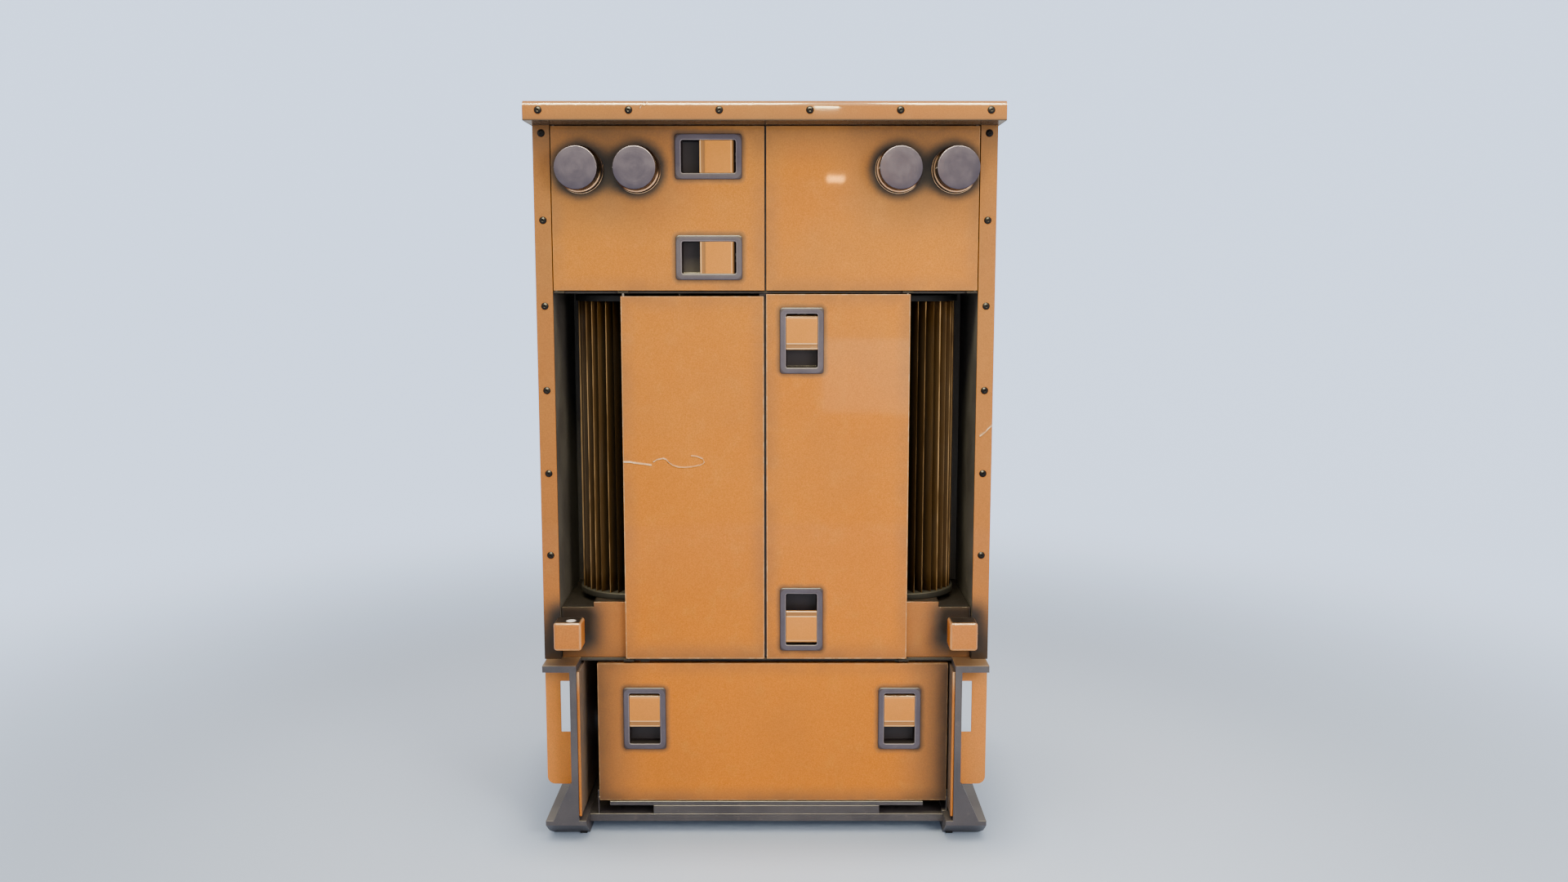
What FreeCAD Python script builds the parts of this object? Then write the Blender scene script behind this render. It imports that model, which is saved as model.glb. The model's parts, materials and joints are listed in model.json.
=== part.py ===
"""Street equipment cabinet on a steel skid, with five latched doors, two filter bays and four capped ports.

Millimetres, +Z up, the front faces -Y. The origin is on the floor, under the centre of the bounding box.
"""

import FreeCAD
import Part
import math
import os
import re

from FreeCAD import Placement, Rotation, Vector

# Driving dimensions. Widths measured from the middle plane end in _x, heights above the floor in _z, and
# depths behind the plane of the closed doors in _y.
SIZES = {
    # envelope
    "front_y": -225,
    "rear_y": 297,
    "roof_half_x": 428,
    "roof_front_y": -300,
    "roof_rear_y": 303.5,
    "roof_low_z": 1350,
    "roof_high_z": 1385,
    "roof_edge_radius": 11,
    "roof_gauge": 2.5,
    "body_half_x": 425,
    "body_low_z": 348,
    "panel_gauge": 2,
    "strip_inner_x": 394,
    "strip_gauge": 3,
    # shelf, floor and centre posts
    "shelf_low_z": 1045.5,
    "shelf_high_z": 1049.5,
    "floor_low_z": 342.5,
    "floor_high_z": 347.5,
    "shelf_setback": 8,
    "tongue_setback": 1,
    "tongue_half_width": 10,
    "post_half_x": 12,
    "post_front_y": 16,
    "post_depth": 14,
    "seal_inner_x": 5,
    "seal_outer_x": 11,
    "seal_gap": 0.5,
    "seal_end": 6,
    # doors
    "door_skin": 2,
    "door_flange": 12,
    "hinge_inset": 4.5,
    "hinge_setback": 3.5,
    "hinge_block": 6,
    "hinge_block_reach": 16,
    "pin_radius": 2.5,
    "pin_clearance": 0.05,
    "pin_reach": 7.5,
    "long_pin_extra": 4,
    "upper_outer_x": 392,
    "upper_low_z": 1051,
    "upper_high_z": 1348.5,
    "upper_seam_half": 2,
    "mid_outer_x": 268.6,
    "mid_low_z": 349,
    "mid_left_high_z": 1040,
    "mid_right_high_z": 1044,
    "mid_left_edge_x": -3.5,
    "mid_right_edge_x": 1.5,
    "lower_left_x": -324.6,
    "lower_right_x": 349.4,
    "lower_low_z": 65,
    "lower_high_z": 339,
    # latches, in their own frame: length along the bolt, width across it
    "bezel_length": 123,
    "bezel_width": 82,
    "bezel_proud": 3,
    "bezel_radius": 6,
    "bezel_rim": 11,
    "notch_length": 5,
    "notch_depth": 2,
    "pan_depth": 26,
    "pan_wall": 2,
    "pan_gap": 0.5,
    "paddle_free_end": -16.5,
    "paddle_pivot_end": 45.5,
    "paddle_half_width": 29.3,
    "paddle_proud": 2,
    "paddle_gauge": 3,
    "paddle_lip": 9,
    "pivot_along": 43,
    "pivot_behind": 6,
    "pivot_radius": 3,
    "barrel_radius": 5.4,
    "barrel_inner": 10,
    "barrel_outer": 28,
    "tail_half_width": 2.5,
    "tail_half_gauge": 2,
    "tail_reach": 20,
    "bolt_near": 33,
    "bolt_front": 15,
    "bolt_gauge": 4,
    "bolt_half_width": 8,
    "bolt_window_half": 6,
    "bolt_window_half_width": 3.5,
    "bolt_slot_gap": 0.3,
    "spring_coil_radius": 4.3,
    "spring_wire_radius": 0.6,
    "spring_leg_radius": 0.45,
    "spring_pitch": 1.6,
    "spring_start": 4,
    # latch places
    "upper_latch_x": -104,
    "upper_latch_high_z": 1294,
    "upper_latch_low_z": 1111,
    "mid_latch_x": 67.5,
    "mid_latch_high_z": 958,
    "mid_latch_low_z": 426.5,
    "lower_latch_left_x": -234.5,
    "lower_latch_right_x": 257,
    "lower_latch_z": 230,
    "bolt_end_upper": 90.5,
    "bolt_end_mid_high": 86.5,
    "bolt_end_mid_low": 78,
    "bolt_end_lower": 111.5,
    # magnetic catches of the two leaves that have no latch
    "catch_inner_x": 13,
    "catch_outer_x": 25,
    "catch_front_y": 12.5,
    "catch_half_z": 20,
    "armature_inset": 2,
    "catch_end_gap": 60,
    "armature_half_z": 15,
    # ports
    "port_z": 1270.5,
    "port_outer_left_x": -339.5,
    "port_inner_left_x": -234.5,
    "port_inner_right_x": 244.5,
    "port_outer_right_x": 347.5,
    "port_flange_radius": 43.3,
    "port_flange_proud": 2,
    "port_shoulder_radius": 40,
    "port_shoulder_proud": 8,
    "port_tube_radius": 34,
    "port_bore_radius": 29,
    "port_tube_proud": 44,
    "port_tube_behind": 14,
    "port_nut_radius": 41,
    "port_nut_behind": 12,
    "cap_collar_radius": 41.5,
    "cap_collar_start": 9.5,
    "cap_collar_end": 19,
    "cap_barrel_start": 23,
    "cap_barrel_radius": 38.6,
    "cap_edge_round": 1.6,
    "cap_front": 53,
    "cap_bore_gap": 0.4,
    "cap_roof": 6,
    # filter bays
    "bay_outer_x": 394,
    "bay_divider_x": 160,
    "bay_back_y": 244,
    "bay_gauge": 1.5,
    "filter_x": 270,
    "filter_y": 130,
    "filter_radius": 98,
    "filter_valley_radius": 68,
    "filter_media_gauge": 1.6,
    "filter_pleats": 36,
    "filter_core_radius": 57,
    "filter_core_wall": 1,
    "filter_cap_radius": 101,
    "filter_cap_height": 12,
    "filter_low_z": 457,
    "filter_high_z": 1042,
    "rod_radius": 6,
    "rod_gap": 0.5,
    "rod_nut_radius": 14,
    "rod_nut_height": 10,
    "sill_inner_x": 269.2,
    "sill_outer_x": 392.6,
    "sill_step_x": 331,
    "sill_step_z": 447,
    "sill_setback": 13,
    "sill_gauge": 2,
    "stand_setback": 8,
    # buffers
    "buffer_inner_x": 344,
    "buffer_outer_x": 396,
    "buffer_low_z": 382,
    "buffer_high_z": 436,
    "buffer_front_y": -64,
    "buffer_back_y": -16,
    "buffer_round": 6,
    "buffer_stem_radius": 13,
    "buffer_pin_radius": 1.5,
    "buffer_pin_proud": 3,
    # skid
    "skid_front_y": -45.6,
    "flange_low_z": 335,
    "flange_outer_x": 422,
    "web_inner_x": 358,
    "web_outer_x": 371,
    "gusset_top_z": 116,
    "gusset_top_x": 374,
    "gusset_foot_x": 407,
    "gusset_gauge": 8,
    "runner_inner_x": 344,
    "runner_high_z": 42,
    "runner_toe_z": 33,
    "runner_side_bevel": 8,
    "tray_gauge": 4,
    "overcut": 1,
    "runner_wall": 6,
    "pad_inner_x": 349,
    "pad_outer_x": 363,
    "pad_start_y": -6,
    "pad_height": 5,
    "side_plate_inner_x": 353,
    "side_plate_front_y": -42,
    "side_plate_low_z": 50,
    "apron_low_z": 98,
    "apron_gauge": 3,
    "apron_radius": 15,
    "hand_hole_inner_x": 374,
    "hand_hole_outer_x": 396,
    "hand_hole_low_z": 203,
    "hand_hole_high_z": 304,
    "deck_low_z": 22,
    "deck_high_z": 37,
    "lug_gauge": 2,
    "lug_gap": 1,
    "lug_setback": 1,
    "lug_depth": 11,
    "lug_height": 20,
    "spacer_half_x": 220,
    "base_strip_half_x": 305,
    "base_strip_low_z": 54,
    "base_strip_high_z": 62.5,
    # dome screws
    "dome_radius": 7,
    "dome_base_angle": 30,
    "shank_overlap": 0.2,
    "shank_radius": 2.5,
    "shank_length": 9,
    "shank_gap": 0.05,
    "roof_screw_z": 1368,
    "roof_screw_pitch": 160,
    "roof_screw_first_x": -400,
    "strip_screw_x": 409,
    "strip_screw_first_z": 1336,
    "strip_screw_pitch": 157,
}
SCREWS_PER_ROW = 6
SPRING_TURNS = 3
SIDES = {"left": -1, "right": 1}
LATCHES = {
    "upper_high": ("upper_latch_x", "upper_latch_high_z", "bolt_end_upper", 0),
    "upper_low": ("upper_latch_x", "upper_latch_low_z", "bolt_end_upper", 0),
    "mid_high": ("mid_latch_x", "mid_latch_high_z", "bolt_end_mid_high", -90),
    "mid_low": ("mid_latch_x", "mid_latch_low_z", "bolt_end_mid_low", 90),
    "lower_left": ("lower_latch_left_x", "lower_latch_z", "bolt_end_lower", -90),
    "lower_right": ("lower_latch_right_x", "lower_latch_z", "bolt_end_lower", -90),
}
PORTS = {
    "outer_left": "port_outer_left_x",
    "inner_left": "port_inner_left_x",
    "inner_right": "port_inner_right_x",
    "outer_right": "port_outer_right_x",
}

doc = FreeCAD.newDocument("Cabinet")
sheet = doc.addObject("Spreadsheet::Sheet", "Sizes")
for row, (alias, value) in enumerate(SIZES.items(), start=1):
    sheet.set(f"A{row}", str(value))
    sheet.setAlias(f"A{row}", alias)
doc.recompute()

nodes = []


# ---------------------------------------------------------------- helpers
def bound(text):
    """An expression on the sheet's aliases, written the way the expression engine reads it."""
    return re.sub(r"[a-z_]+",
                  lambda word: "Sizes." + word.group() if word.group() in SIZES else word.group(), text)


def read(text):
    """The sum that a text of aliases and numbers gives, such as 'rear_y - panel_gauge'."""
    total = 0.0
    turned_round = text.startswith("-(")
    for sign, word in re.findall(r"([+-]?)\s*([a-z_]+|[\d.]+)", text.strip("-()") if turned_round else text):
        value = sheet.get(word) if word in SIZES else float(word)
        total += -value if sign == "-" else value
    return -total if turned_round else total


def block(name, x, y, z):
    """A Part::Box from the low to the high expression along each axis."""
    solid = doc.addObject("Part::Box", name)
    for axis, size, (low, high) in zip("xyz", ("Length", "Width", "Height"), (x, y, z)):
        solid.setExpression(size, bound(f"({high}) - ({low})"))
        solid.setExpression(f"Placement.Base.{axis}", bound(low))
    return solid


TURNS = {
    "x": Rotation(Vector(0, 1, 0), 90),
    "y": Rotation(Vector(1, 0, 0), -90),
    "z": Rotation(),
}


def rod(name, axis, radius, start, length):
    """A Part::Cylinder that starts at three expressions and runs along an axis."""
    solid = doc.addObject("Part::Cylinder", name)
    solid.Placement = Placement(Vector(), TURNS[axis])
    solid.setExpression("Radius", bound(radius))
    solid.setExpression("Height", bound(length))
    for letter, place in zip("xyz", start):
        solid.setExpression(f"Placement.Base.{letter}", bound(place))
    return solid


def fuse(name, parts):
    """One solid of several."""
    solid = doc.addObject("Part::MultiFuse", name)
    solid.Shapes = parts
    return solid


def group(name, parts):
    """Several solids in one object."""
    several = doc.addObject("Part::Compound", name)
    several.Links = parts
    return several


def cut(name, base, tools):
    """A base with tools taken away."""
    solid = doc.addObject("Part::Cut", name)
    solid.Base = base
    solid.Tool = tools[0] if len(tools) == 1 else fuse(name + "_tools", tools)
    return solid


def fillet(name, base, radius, keeps):
    """Rounds the edges of a base for which keeps(edge) is true."""
    doc.recompute()
    size = sheet.get(radius)
    solid = doc.addObject("Part::Fillet", name)
    solid.Base = base
    solid.Edges = [(i, size, size) for i, edge in enumerate(base.Shape.Edges, start=1) if keeps(edge)]
    return solid


def along(direction):
    """A test for straight edges that run along a direction."""
    def test(edge):
        if edge.Curve.TypeId != "Part::GeomLine":
            return False
        return abs(abs(edge.Curve.Direction.dot(direction)) - 1) < 1e-6
    return test


def node(name, thing):
    """Names a finished sub-part."""
    thing.Label = name
    nodes.append(thing)
    return thing


def mirrored(side, low, high):
    """The span between two distances from the middle plane, on the left or the right."""
    return (low, high) if side > 0 else (f"-({high})", f"-({low})")


def signed(side, text):
    """A distance from the middle plane as an x expression."""
    return text if side > 0 else f"-({text})"


def plane_of(body, role):
    """One of a body's own origin planes."""
    return next(plane for plane in body.Origin.OriginFeatures if plane.Role == role)


def profile_pad(name, role, offset, points, length, reverse=False, rounds=None, holes=()):
    """A PartDesign body padded from a closed outline of straight lines, with chosen corners rounded."""
    body = doc.addObject("PartDesign::Body", name)
    sketch = body.newObject("Sketcher::SketchObject", name + "_profile")
    sketch.AttachmentSupport = [(plane_of(body, role), "")]
    sketch.MapMode = "FlatFace"
    sketch.setExpression("AttachmentOffset.Base.z", bound(offset))
    for outline, radii in ((points, rounds or {}), *((hole, {}) for hole in holes)):
        draw_outline(sketch, [Vector(read(u), read(v), 0) for u, v in outline], radii)
    pad = body.newObject("PartDesign::Pad", name + "_pad")
    pad.Profile = sketch
    pad.setExpression("Length", bound(length))
    pad.Reversed = reverse
    return body


def draw_outline(sketch, corners, radii):
    """Draws a closed outline, with an arc at each corner whose index is in radii."""
    joints = []
    for i, corner in enumerate(corners):
        before = (corners[i - 1] - corner).normalize()
        after = (corners[(i + 1) % len(corners)] - corner).normalize()
        if i not in radii:
            joints.append((corner, None, corner))
            continue
        radius = read(radii[i])
        half = before.getAngle(after) / 2
        reach = radius / math.tan(half)
        middle = corner + (before + after).normalize() * (radius / math.sin(half) - radius)
        joints.append((corner + before * reach, middle, corner + after * reach))
    for i, (start, middle, end) in enumerate(joints):
        if middle is not None:
            sketch.addGeometry(Part.Arc(start, middle, end))
        sketch.addGeometry(Part.LineSegment(end, joints[(i + 1) % len(joints)][0]))


# Depth behind the door plane, as a y expression.
def deep(text):
    return f"front_y + {text}"


# ---------------------------------------------------------------- skid
brackets = []
for side_name, side in SIDES.items():
    lift = signed(side, "runner_inner_x")
    runner = profile_pad(
        f"runner_{side_name}", "YZ_Plane", lift,
        [("front_y + skid_front_y", "runner_high_z"), ("front_y + skid_front_y", "runner_toe_z"),
         ("front_y", "0"), ("rear_y", "0"), ("rear_y", "runner_high_z")],
        "flange_outer_x - runner_inner_x", reverse=side < 0,
    )
    groove = block(
        f"runner_groove_{side_name}", mirrored(side, "pad_inner_x", "pad_outer_x"),
        (deep("pad_start_y"), "rear_y + overcut"), ("-overcut", "pad_height"),
    )
    edge_x = signed(side, "flange_outer_x + overcut")
    bevel = profile_pad(
        f"runner_bevel_{side_name}", "XZ_Plane", "-(front_y + skid_front_y - overcut)",
        [(edge_x, "runner_side_bevel + overcut"), (edge_x, "-overcut"),
         (signed(side, "flange_outer_x - runner_side_bevel - overcut"), "-overcut")],
        "rear_y - front_y - skid_front_y + 2 * overcut", reverse=True,
    )
    hollow = block(
        f"runner_hollow_{side_name}",
        mirrored(side, "pad_outer_x + runner_wall", "flange_outer_x - runner_wall"),
        (deep("runner_wall"), "rear_y - runner_wall"), ("-overcut", "runner_high_z - runner_wall"),
    )
    runner_shell = cut(f"runner_shell_{side_name}", runner, [groove, hollow, bevel])
    flange = block(
        f"flange_{side_name}", mirrored(side, "web_inner_x", "flange_outer_x"),
        ("front_y + skid_front_y", "rear_y"), ("flange_low_z", "body_low_z"),
    )
    web = block(
        f"web_{side_name}", mirrored(side, "web_inner_x", "web_outer_x"),
        ("front_y + skid_front_y", "rear_y"), ("runner_high_z", "flange_low_z"),
    )
    gusset = profile_pad(
        f"gusset_{side_name}", "XZ_Plane", "-(front_y + skid_front_y)",
        [(signed(side, "web_outer_x"), "gusset_top_z"), (signed(side, "gusset_top_x"), "gusset_top_z"),
         (signed(side, "gusset_foot_x"), "runner_high_z"), (signed(side, "web_outer_x"), "runner_high_z")],
        "gusset_gauge", reverse=True,
    )
    brackets.append(fuse(f"skid_{side_name}", [runner_shell, flange, web, gusset]))
node("skid_brackets", group("bracket_pair", brackets))

pads = [
    block(
        f"pad_{side_name}", mirrored(side, "pad_inner_x", "pad_outer_x"),
        (deep("pad_start_y"), "rear_y"), ("0", "pad_height"),
    )
    for side_name, side in SIDES.items()
]
node("runner_pads", group("pads", pads))

side_plates = [
    block(
        f"side_plate_{side_name}", mirrored(side, "side_plate_inner_x", "web_inner_x"),
        (deep("side_plate_front_y"), "rear_y"), ("side_plate_low_z", "flange_low_z"),
    )
    for side_name, side in SIDES.items()
]
node("lower_side_plates", group("side_plates", side_plates))

aprons = []
for side_name, side in SIDES.items():
    aprons.append(profile_pad(
        f"apron_{side_name}", "XZ_Plane", "-(front_y)",
        [(signed(side, "web_outer_x"), "flange_low_z"), (signed(side, "body_half_x"), "flange_low_z"),
         (signed(side, "body_half_x"), "apron_low_z"), (signed(side, "web_outer_x"), "apron_low_z")],
        "apron_gauge", reverse=True, rounds={2: "apron_radius"},
        holes=[[(signed(side, "hand_hole_inner_x"), "hand_hole_low_z"),
                (signed(side, "hand_hole_outer_x"), "hand_hole_low_z"),
                (signed(side, "hand_hole_outer_x"), "hand_hole_high_z"),
                (signed(side, "hand_hole_inner_x"), "hand_hole_high_z")]],
    ))
node("apron_plates", group("apron_pair", aprons))



def tray(name, half_x, low_z, high_z):
    """A plate the depth of the body with its four edges folded down."""
    plate = block(f"{name}_sheet", (f"-{half_x}", half_x), ("front_y", "rear_y"), (low_z, high_z))
    under = block(
        f"{name}_under", (f"-({half_x} - tray_gauge)", f"{half_x} - tray_gauge"),
        ("front_y + tray_gauge", "rear_y - tray_gauge"), (f"{low_z} - overcut", f"{high_z} - tray_gauge"),
    )
    return cut(name, plate, [under])


# Deck between the webs, with two lugs that hold the lower door's pins.
deck = tray("deck", "runner_inner_x", "deck_low_z", "deck_high_z")
lugs = []
for edge, low, high in (
    ("left", "lower_left_x - lug_gap - lug_gauge", "lower_left_x - lug_gap"),
    ("right", "lower_right_x + lug_gap", "lower_right_x + lug_gap + lug_gauge"),
):
    lugs.append(block(f"lug_{edge}", (low, high), (deep("lug_setback"), deep("lug_depth")),
                      ("deck_high_z", "lower_low_z + lug_height")))
lug_foot = block(
    "lug_foot", ("runner_inner_x", "lower_right_x + lug_gap + lug_gauge"),
    (deep("lug_setback"), deep("lug_depth")),
    ("runner_high_z", "runner_high_z + lug_gauge"),
)
lug_foot_riser = block(
    "lug_foot_riser", ("runner_inner_x - lug_gauge", "runner_inner_x"),
    (deep("lug_setback"), deep("lug_depth")),
    ("deck_high_z", "runner_high_z + lug_gauge"),
)
lug_clear = block(
    "lug_clear", ("runner_inner_x", "lower_right_x + lug_gap + lug_gauge + overcut"),
    (deep("0"), deep("lug_depth + overcut")),
    ("deck_high_z - overcut", "runner_high_z"),
)
right_lug = cut("right_lug", lugs[1], [lug_clear])
node("deck_plate", fuse("deck_with_lugs", [deck, lugs[0], right_lug, lug_foot, lug_foot_riser]))
node("floor_spacer", tray("spacer", "spacer_half_x", "deck_high_z", "base_strip_low_z"))
node("raised_floor", tray("raised", "base_strip_half_x", "base_strip_low_z", "base_strip_high_z"))

# ---------------------------------------------------------------- body shell
def strip_screw_height(i):
    """The height of a corner strip's screw, counted from the top."""
    return f"strip_screw_first_z - {i} * strip_screw_pitch"


def screw_hole(name, x, y, z):
    """The hole in a sheet for one dome screw."""
    return rod(name, "y", "shank_radius + shank_gap", (x, f"{y} - overcut", z), "shank_length")


node("side_panels", group("panel_pair", [
    block(f"side_{side_name}", mirrored(side, "body_half_x - panel_gauge", "body_half_x"),
          (deep("strip_gauge"), "rear_y"), ("body_low_z", "roof_low_z"))
    for side_name, side in SIDES.items()
]))
strips = []
for side_name, side in SIDES.items():
    strip = block(
        f"strip_{side_name}", mirrored(side, "strip_inner_x", "body_half_x"),
        (deep("0"), deep("strip_gauge")), ("body_low_z", "roof_low_z"),
    )
    strips.append(cut(f"strip_drilled_{side_name}", strip, [
        screw_hole(f"strip_hole_{side_name}_{i}", signed(side, "strip_screw_x"), "front_y",
                   strip_screw_height(i))
        for i in range(SCREWS_PER_ROW)
    ]))
node("corner_strips", group("strip_pair", strips))
upper_rear = block(
    "rear_upper", ("-(body_half_x - panel_gauge)", "body_half_x - panel_gauge"),
    ("rear_y - panel_gauge", "rear_y"), ("body_low_z", "roof_low_z"),
)
lower_rear = block(
    "rear_lower", ("-side_plate_inner_x", "side_plate_inner_x"), ("rear_y - panel_gauge", "rear_y"),
    ("base_strip_high_z", "body_low_z"),
)
node("rear_panel", fuse("rear", [upper_rear, lower_rear]))



def tongued_plate(name, half_x, z, axes):
    """A level plate set back from the doors, with a tongue forward under each hinge pin."""
    pieces = [block(f"{name}_plate", (f"-({half_x})", half_x),
                    (deep("shelf_setback"), "rear_y - panel_gauge"), z)]
    for i, axis_x in enumerate(axes):
        pieces.append(block(
            f"{name}_tongue_{i}", (f"{axis_x} - tongue_half_width", f"{axis_x} + tongue_half_width"),
            (deep("tongue_setback"), deep("shelf_setback")), z,
        ))
    return node(name, fuse(f"{name}_body", pieces))


UPPER_AXES = ("-upper_outer_x + hinge_inset + tongue_half_width / 2",
              "upper_outer_x - hinge_inset - tongue_half_width / 2")
MID_AXES = ("-mid_outer_x + hinge_inset", "mid_outer_x - hinge_inset")
tongued_plate("upper_shelf", "body_half_x - panel_gauge", ("shelf_low_z", "shelf_high_z"),
              (*UPPER_AXES, *MID_AXES))
tongued_plate("main_floor", "web_inner_x", ("floor_low_z", "floor_high_z"), MID_AXES)

posts = [
    block(f"post_{level}", ("-post_half_x", "post_half_x"),
          (deep("post_front_y"), deep("post_front_y + post_depth")),
          (low, high))
    for level, low, high in (("upper", "shelf_high_z", "roof_low_z"), ("mid", "floor_high_z", "shelf_low_z"))
]
node("centre_posts", group("posts", posts))
seals = []
for level, low, high in (("upper", "shelf_high_z", "roof_low_z"), ("mid", "floor_high_z", "shelf_low_z")):
    for side_name, side in SIDES.items():
        seals.append(block(
            f"seal_{level}_{side_name}", mirrored(side, "seal_inner_x", "seal_outer_x"),
            (deep("door_flange + seal_gap"), deep("post_front_y")),
            (f"{low} + seal_end", f"{high} - seal_end"),
        ))
node("post_seals", group("seals", seals))

# Roof: a pressed pan with a rounded front edge, open underneath, and a soffit that closes its canopy.
roof_outer = profile_pad(
    "roof_outer", "YZ_Plane", "-roof_half_x",
    [("roof_front_y", "roof_low_z"), ("roof_front_y", "roof_high_z"), ("roof_rear_y", "roof_high_z"),
     ("roof_rear_y", "roof_low_z")],
    "2 * roof_half_x", rounds={1: "roof_edge_radius", 2: "roof_edge_radius"},
)
roof_hollow = profile_pad(
    "roof_hollow", "YZ_Plane", "-(roof_half_x - roof_gauge)",
    [("roof_front_y + roof_gauge", "roof_low_z"), ("roof_front_y + roof_gauge", "roof_high_z - roof_gauge"),
     ("roof_rear_y - roof_gauge", "roof_high_z - roof_gauge"), ("roof_rear_y - roof_gauge", "roof_low_z")],
    "2 * (roof_half_x - roof_gauge)",
    rounds={1: "roof_edge_radius - roof_gauge", 2: "roof_edge_radius - roof_gauge"},
)
roof_holes = [
    screw_hole(f"roof_hole_{i}", f"roof_screw_first_x + {i} * roof_screw_pitch", "roof_front_y",
               "roof_screw_z")
    for i in range(SCREWS_PER_ROW)
]
node("roof_cap", cut("roof", roof_outer, [roof_hollow, *roof_holes]))
node("roof_soffit", block(
    "soffit", ("-(roof_half_x - roof_gauge)", "roof_half_x - roof_gauge"),
    ("roof_front_y + roof_gauge", "roof_rear_y - roof_gauge"), ("roof_low_z", "roof_low_z + roof_gauge"),
))


def dome_screw(name, x, y, z):
    """A low domed head outside a sheet and its shank behind it."""
    head = doc.addObject("Part::Sphere", name + "_head")
    head.setExpression("Radius", bound("dome_radius"))
    head.setExpression("Angle1", bound("dome_base_angle"))
    head.Placement = Placement(Vector(), Rotation(Vector(1, 0, 0), 90))
    rise = "dome_radius * sin(dome_base_angle * 1deg)"
    for letter, place in zip("xyz", (x, f"{y} + {rise}", z)):
        head.setExpression(f"Placement.Base.{letter}", bound(place))
    shank = rod(name + "_shank", "y", "shank_radius", (x, f"{y} - shank_overlap", z), "shank_length")
    return fuse(name, [head, shank])


screws = [
    dome_screw(f"roof_screw_{i}", f"roof_screw_first_x + {i} * roof_screw_pitch", "roof_front_y",
               "roof_screw_z")
    for i in range(SCREWS_PER_ROW)
]
for side_name, side in SIDES.items():
    for i in range(SCREWS_PER_ROW):
        screws.append(dome_screw(
            f"strip_screw_{side_name}_{i}", signed(side, "strip_screw_x"), "front_y", strip_screw_height(i),
        ))
node("dome_screws", group("screws", screws))

# ---------------------------------------------------------------- filter bays
node("bay_side_walls", group("bay_sides", [
    block(f"bay_side_{side_name}", mirrored(side, "bay_outer_x", "bay_outer_x + bay_gauge"),
          (deep("strip_gauge"), deep("bay_back_y")), ("body_low_z", "shelf_low_z"))
    for side_name, side in SIDES.items()
]))
node("bay_back_walls", group("bay_backs", [
    block(f"bay_back_{side_name}", mirrored(side, "bay_divider_x", "bay_outer_x + bay_gauge"),
          (deep("bay_back_y"), deep("bay_back_y + bay_gauge")), ("body_low_z", "shelf_low_z"))
    for side_name, side in SIDES.items()
]))
node("bay_dividers", group("dividers", [
    block(f"divider_{side_name}", mirrored(side, "bay_divider_x", "bay_divider_x + bay_gauge"),
          (deep("post_front_y"), deep("bay_back_y")), ("body_low_z", "shelf_low_z"))
    for side_name, side in SIDES.items()
]))
bay_sills = []
for side_name, side in SIDES.items():
    setback = "sill_setback"
    face_low = block(
        f"sill_face_low_{side_name}", mirrored(side, "sill_inner_x", "sill_outer_x"),
        (deep(setback), deep("sill_setback + sill_gauge")), ("body_low_z", "sill_step_z"),
    )
    face_high = block(
        f"sill_face_high_{side_name}", mirrored(side, "sill_inner_x", "sill_step_x"),
        (deep(setback), deep("sill_setback + sill_gauge")), ("sill_step_z", "filter_low_z"),
    )
    ledge = block(
        f"sill_ledge_{side_name}", mirrored(side, "sill_step_x", "sill_outer_x"),
        (deep(setback), deep("bay_back_y")), ("sill_step_z - sill_gauge", "sill_step_z"),
    )
    stand = block(
        f"sill_stand_{side_name}", mirrored(side, "bay_divider_x + bay_gauge", "sill_step_x"),
        (deep("sill_setback + stand_setback"), deep("bay_back_y")),
        ("filter_low_z - sill_gauge", "filter_low_z"),
    )
    stand_front = block(
        f"sill_stand_front_{side_name}", mirrored(side, "sill_inner_x", "sill_step_x"),
        (deep(setback), deep("sill_setback + stand_setback")), ("filter_low_z - sill_gauge", "filter_low_z"),
    )
    riser = block(
        f"sill_riser_{side_name}", mirrored(side, "sill_step_x - sill_gauge", "sill_step_x"),
        (deep(setback), deep("bay_back_y")), ("sill_step_z - sill_gauge", "filter_low_z"),
    )
    rod_hole = rod(f"sill_rod_hole_{side_name}", "z", "rod_radius",
                   (signed(side, "filter_x"), deep("filter_y"), "filter_low_z - sill_gauge - overcut"),
                   "sill_gauge + 2 * overcut")
    folded = fuse(f"sill_folded_{side_name}", [face_low, face_high, ledge, stand, stand_front, riser])
    bay_sills.append(cut(f"sill_{side_name}", folded, [rod_hole]))
node("bay_sills", group("sill_pair", bay_sills))


def pleated_tube(x, y):
    """A zigzag tube: every pleat goes out to the outer radius and back to the valley radius."""
    pleats = int(sheet.get("filter_pleats"))
    gauge = sheet.get("filter_media_gauge")
    outer = sheet.get("filter_radius")
    valley = sheet.get("filter_valley_radius")
    low = sheet.get("filter_low_z") + sheet.get("filter_cap_height")
    high = sheet.get("filter_high_z") - sheet.get("filter_cap_height")

    def star(shrink):
        points = []
        for i in range(2 * pleats):
            radius = (outer if i % 2 == 0 else valley) - shrink
            angle = math.pi * i / pleats
            points.append(Vector(x + radius * math.cos(angle), y + radius * math.sin(angle), low))
        return Part.Face(Part.makePolygon(points + points[:1]))

    # The sheet's thickness, measured across a pleat's slope, sets how far the inner outline moves in.
    step = math.pi / pleats
    run = math.hypot(outer - valley, valley * step)
    return star(0).cut(star(gauge * run / (valley * step))).extrude(Vector(0, 0, high - low))


media_pair = []
for side_name, side in SIDES.items():
    media = doc.addObject("Part::Feature", f"media_{side_name}")
    media.Shape = pleated_tube(side * sheet.get("filter_x"), read("front_y + filter_y"))
    media_pair.append(media)
node("filter_media", group("media_pair", media_pair))

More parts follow.
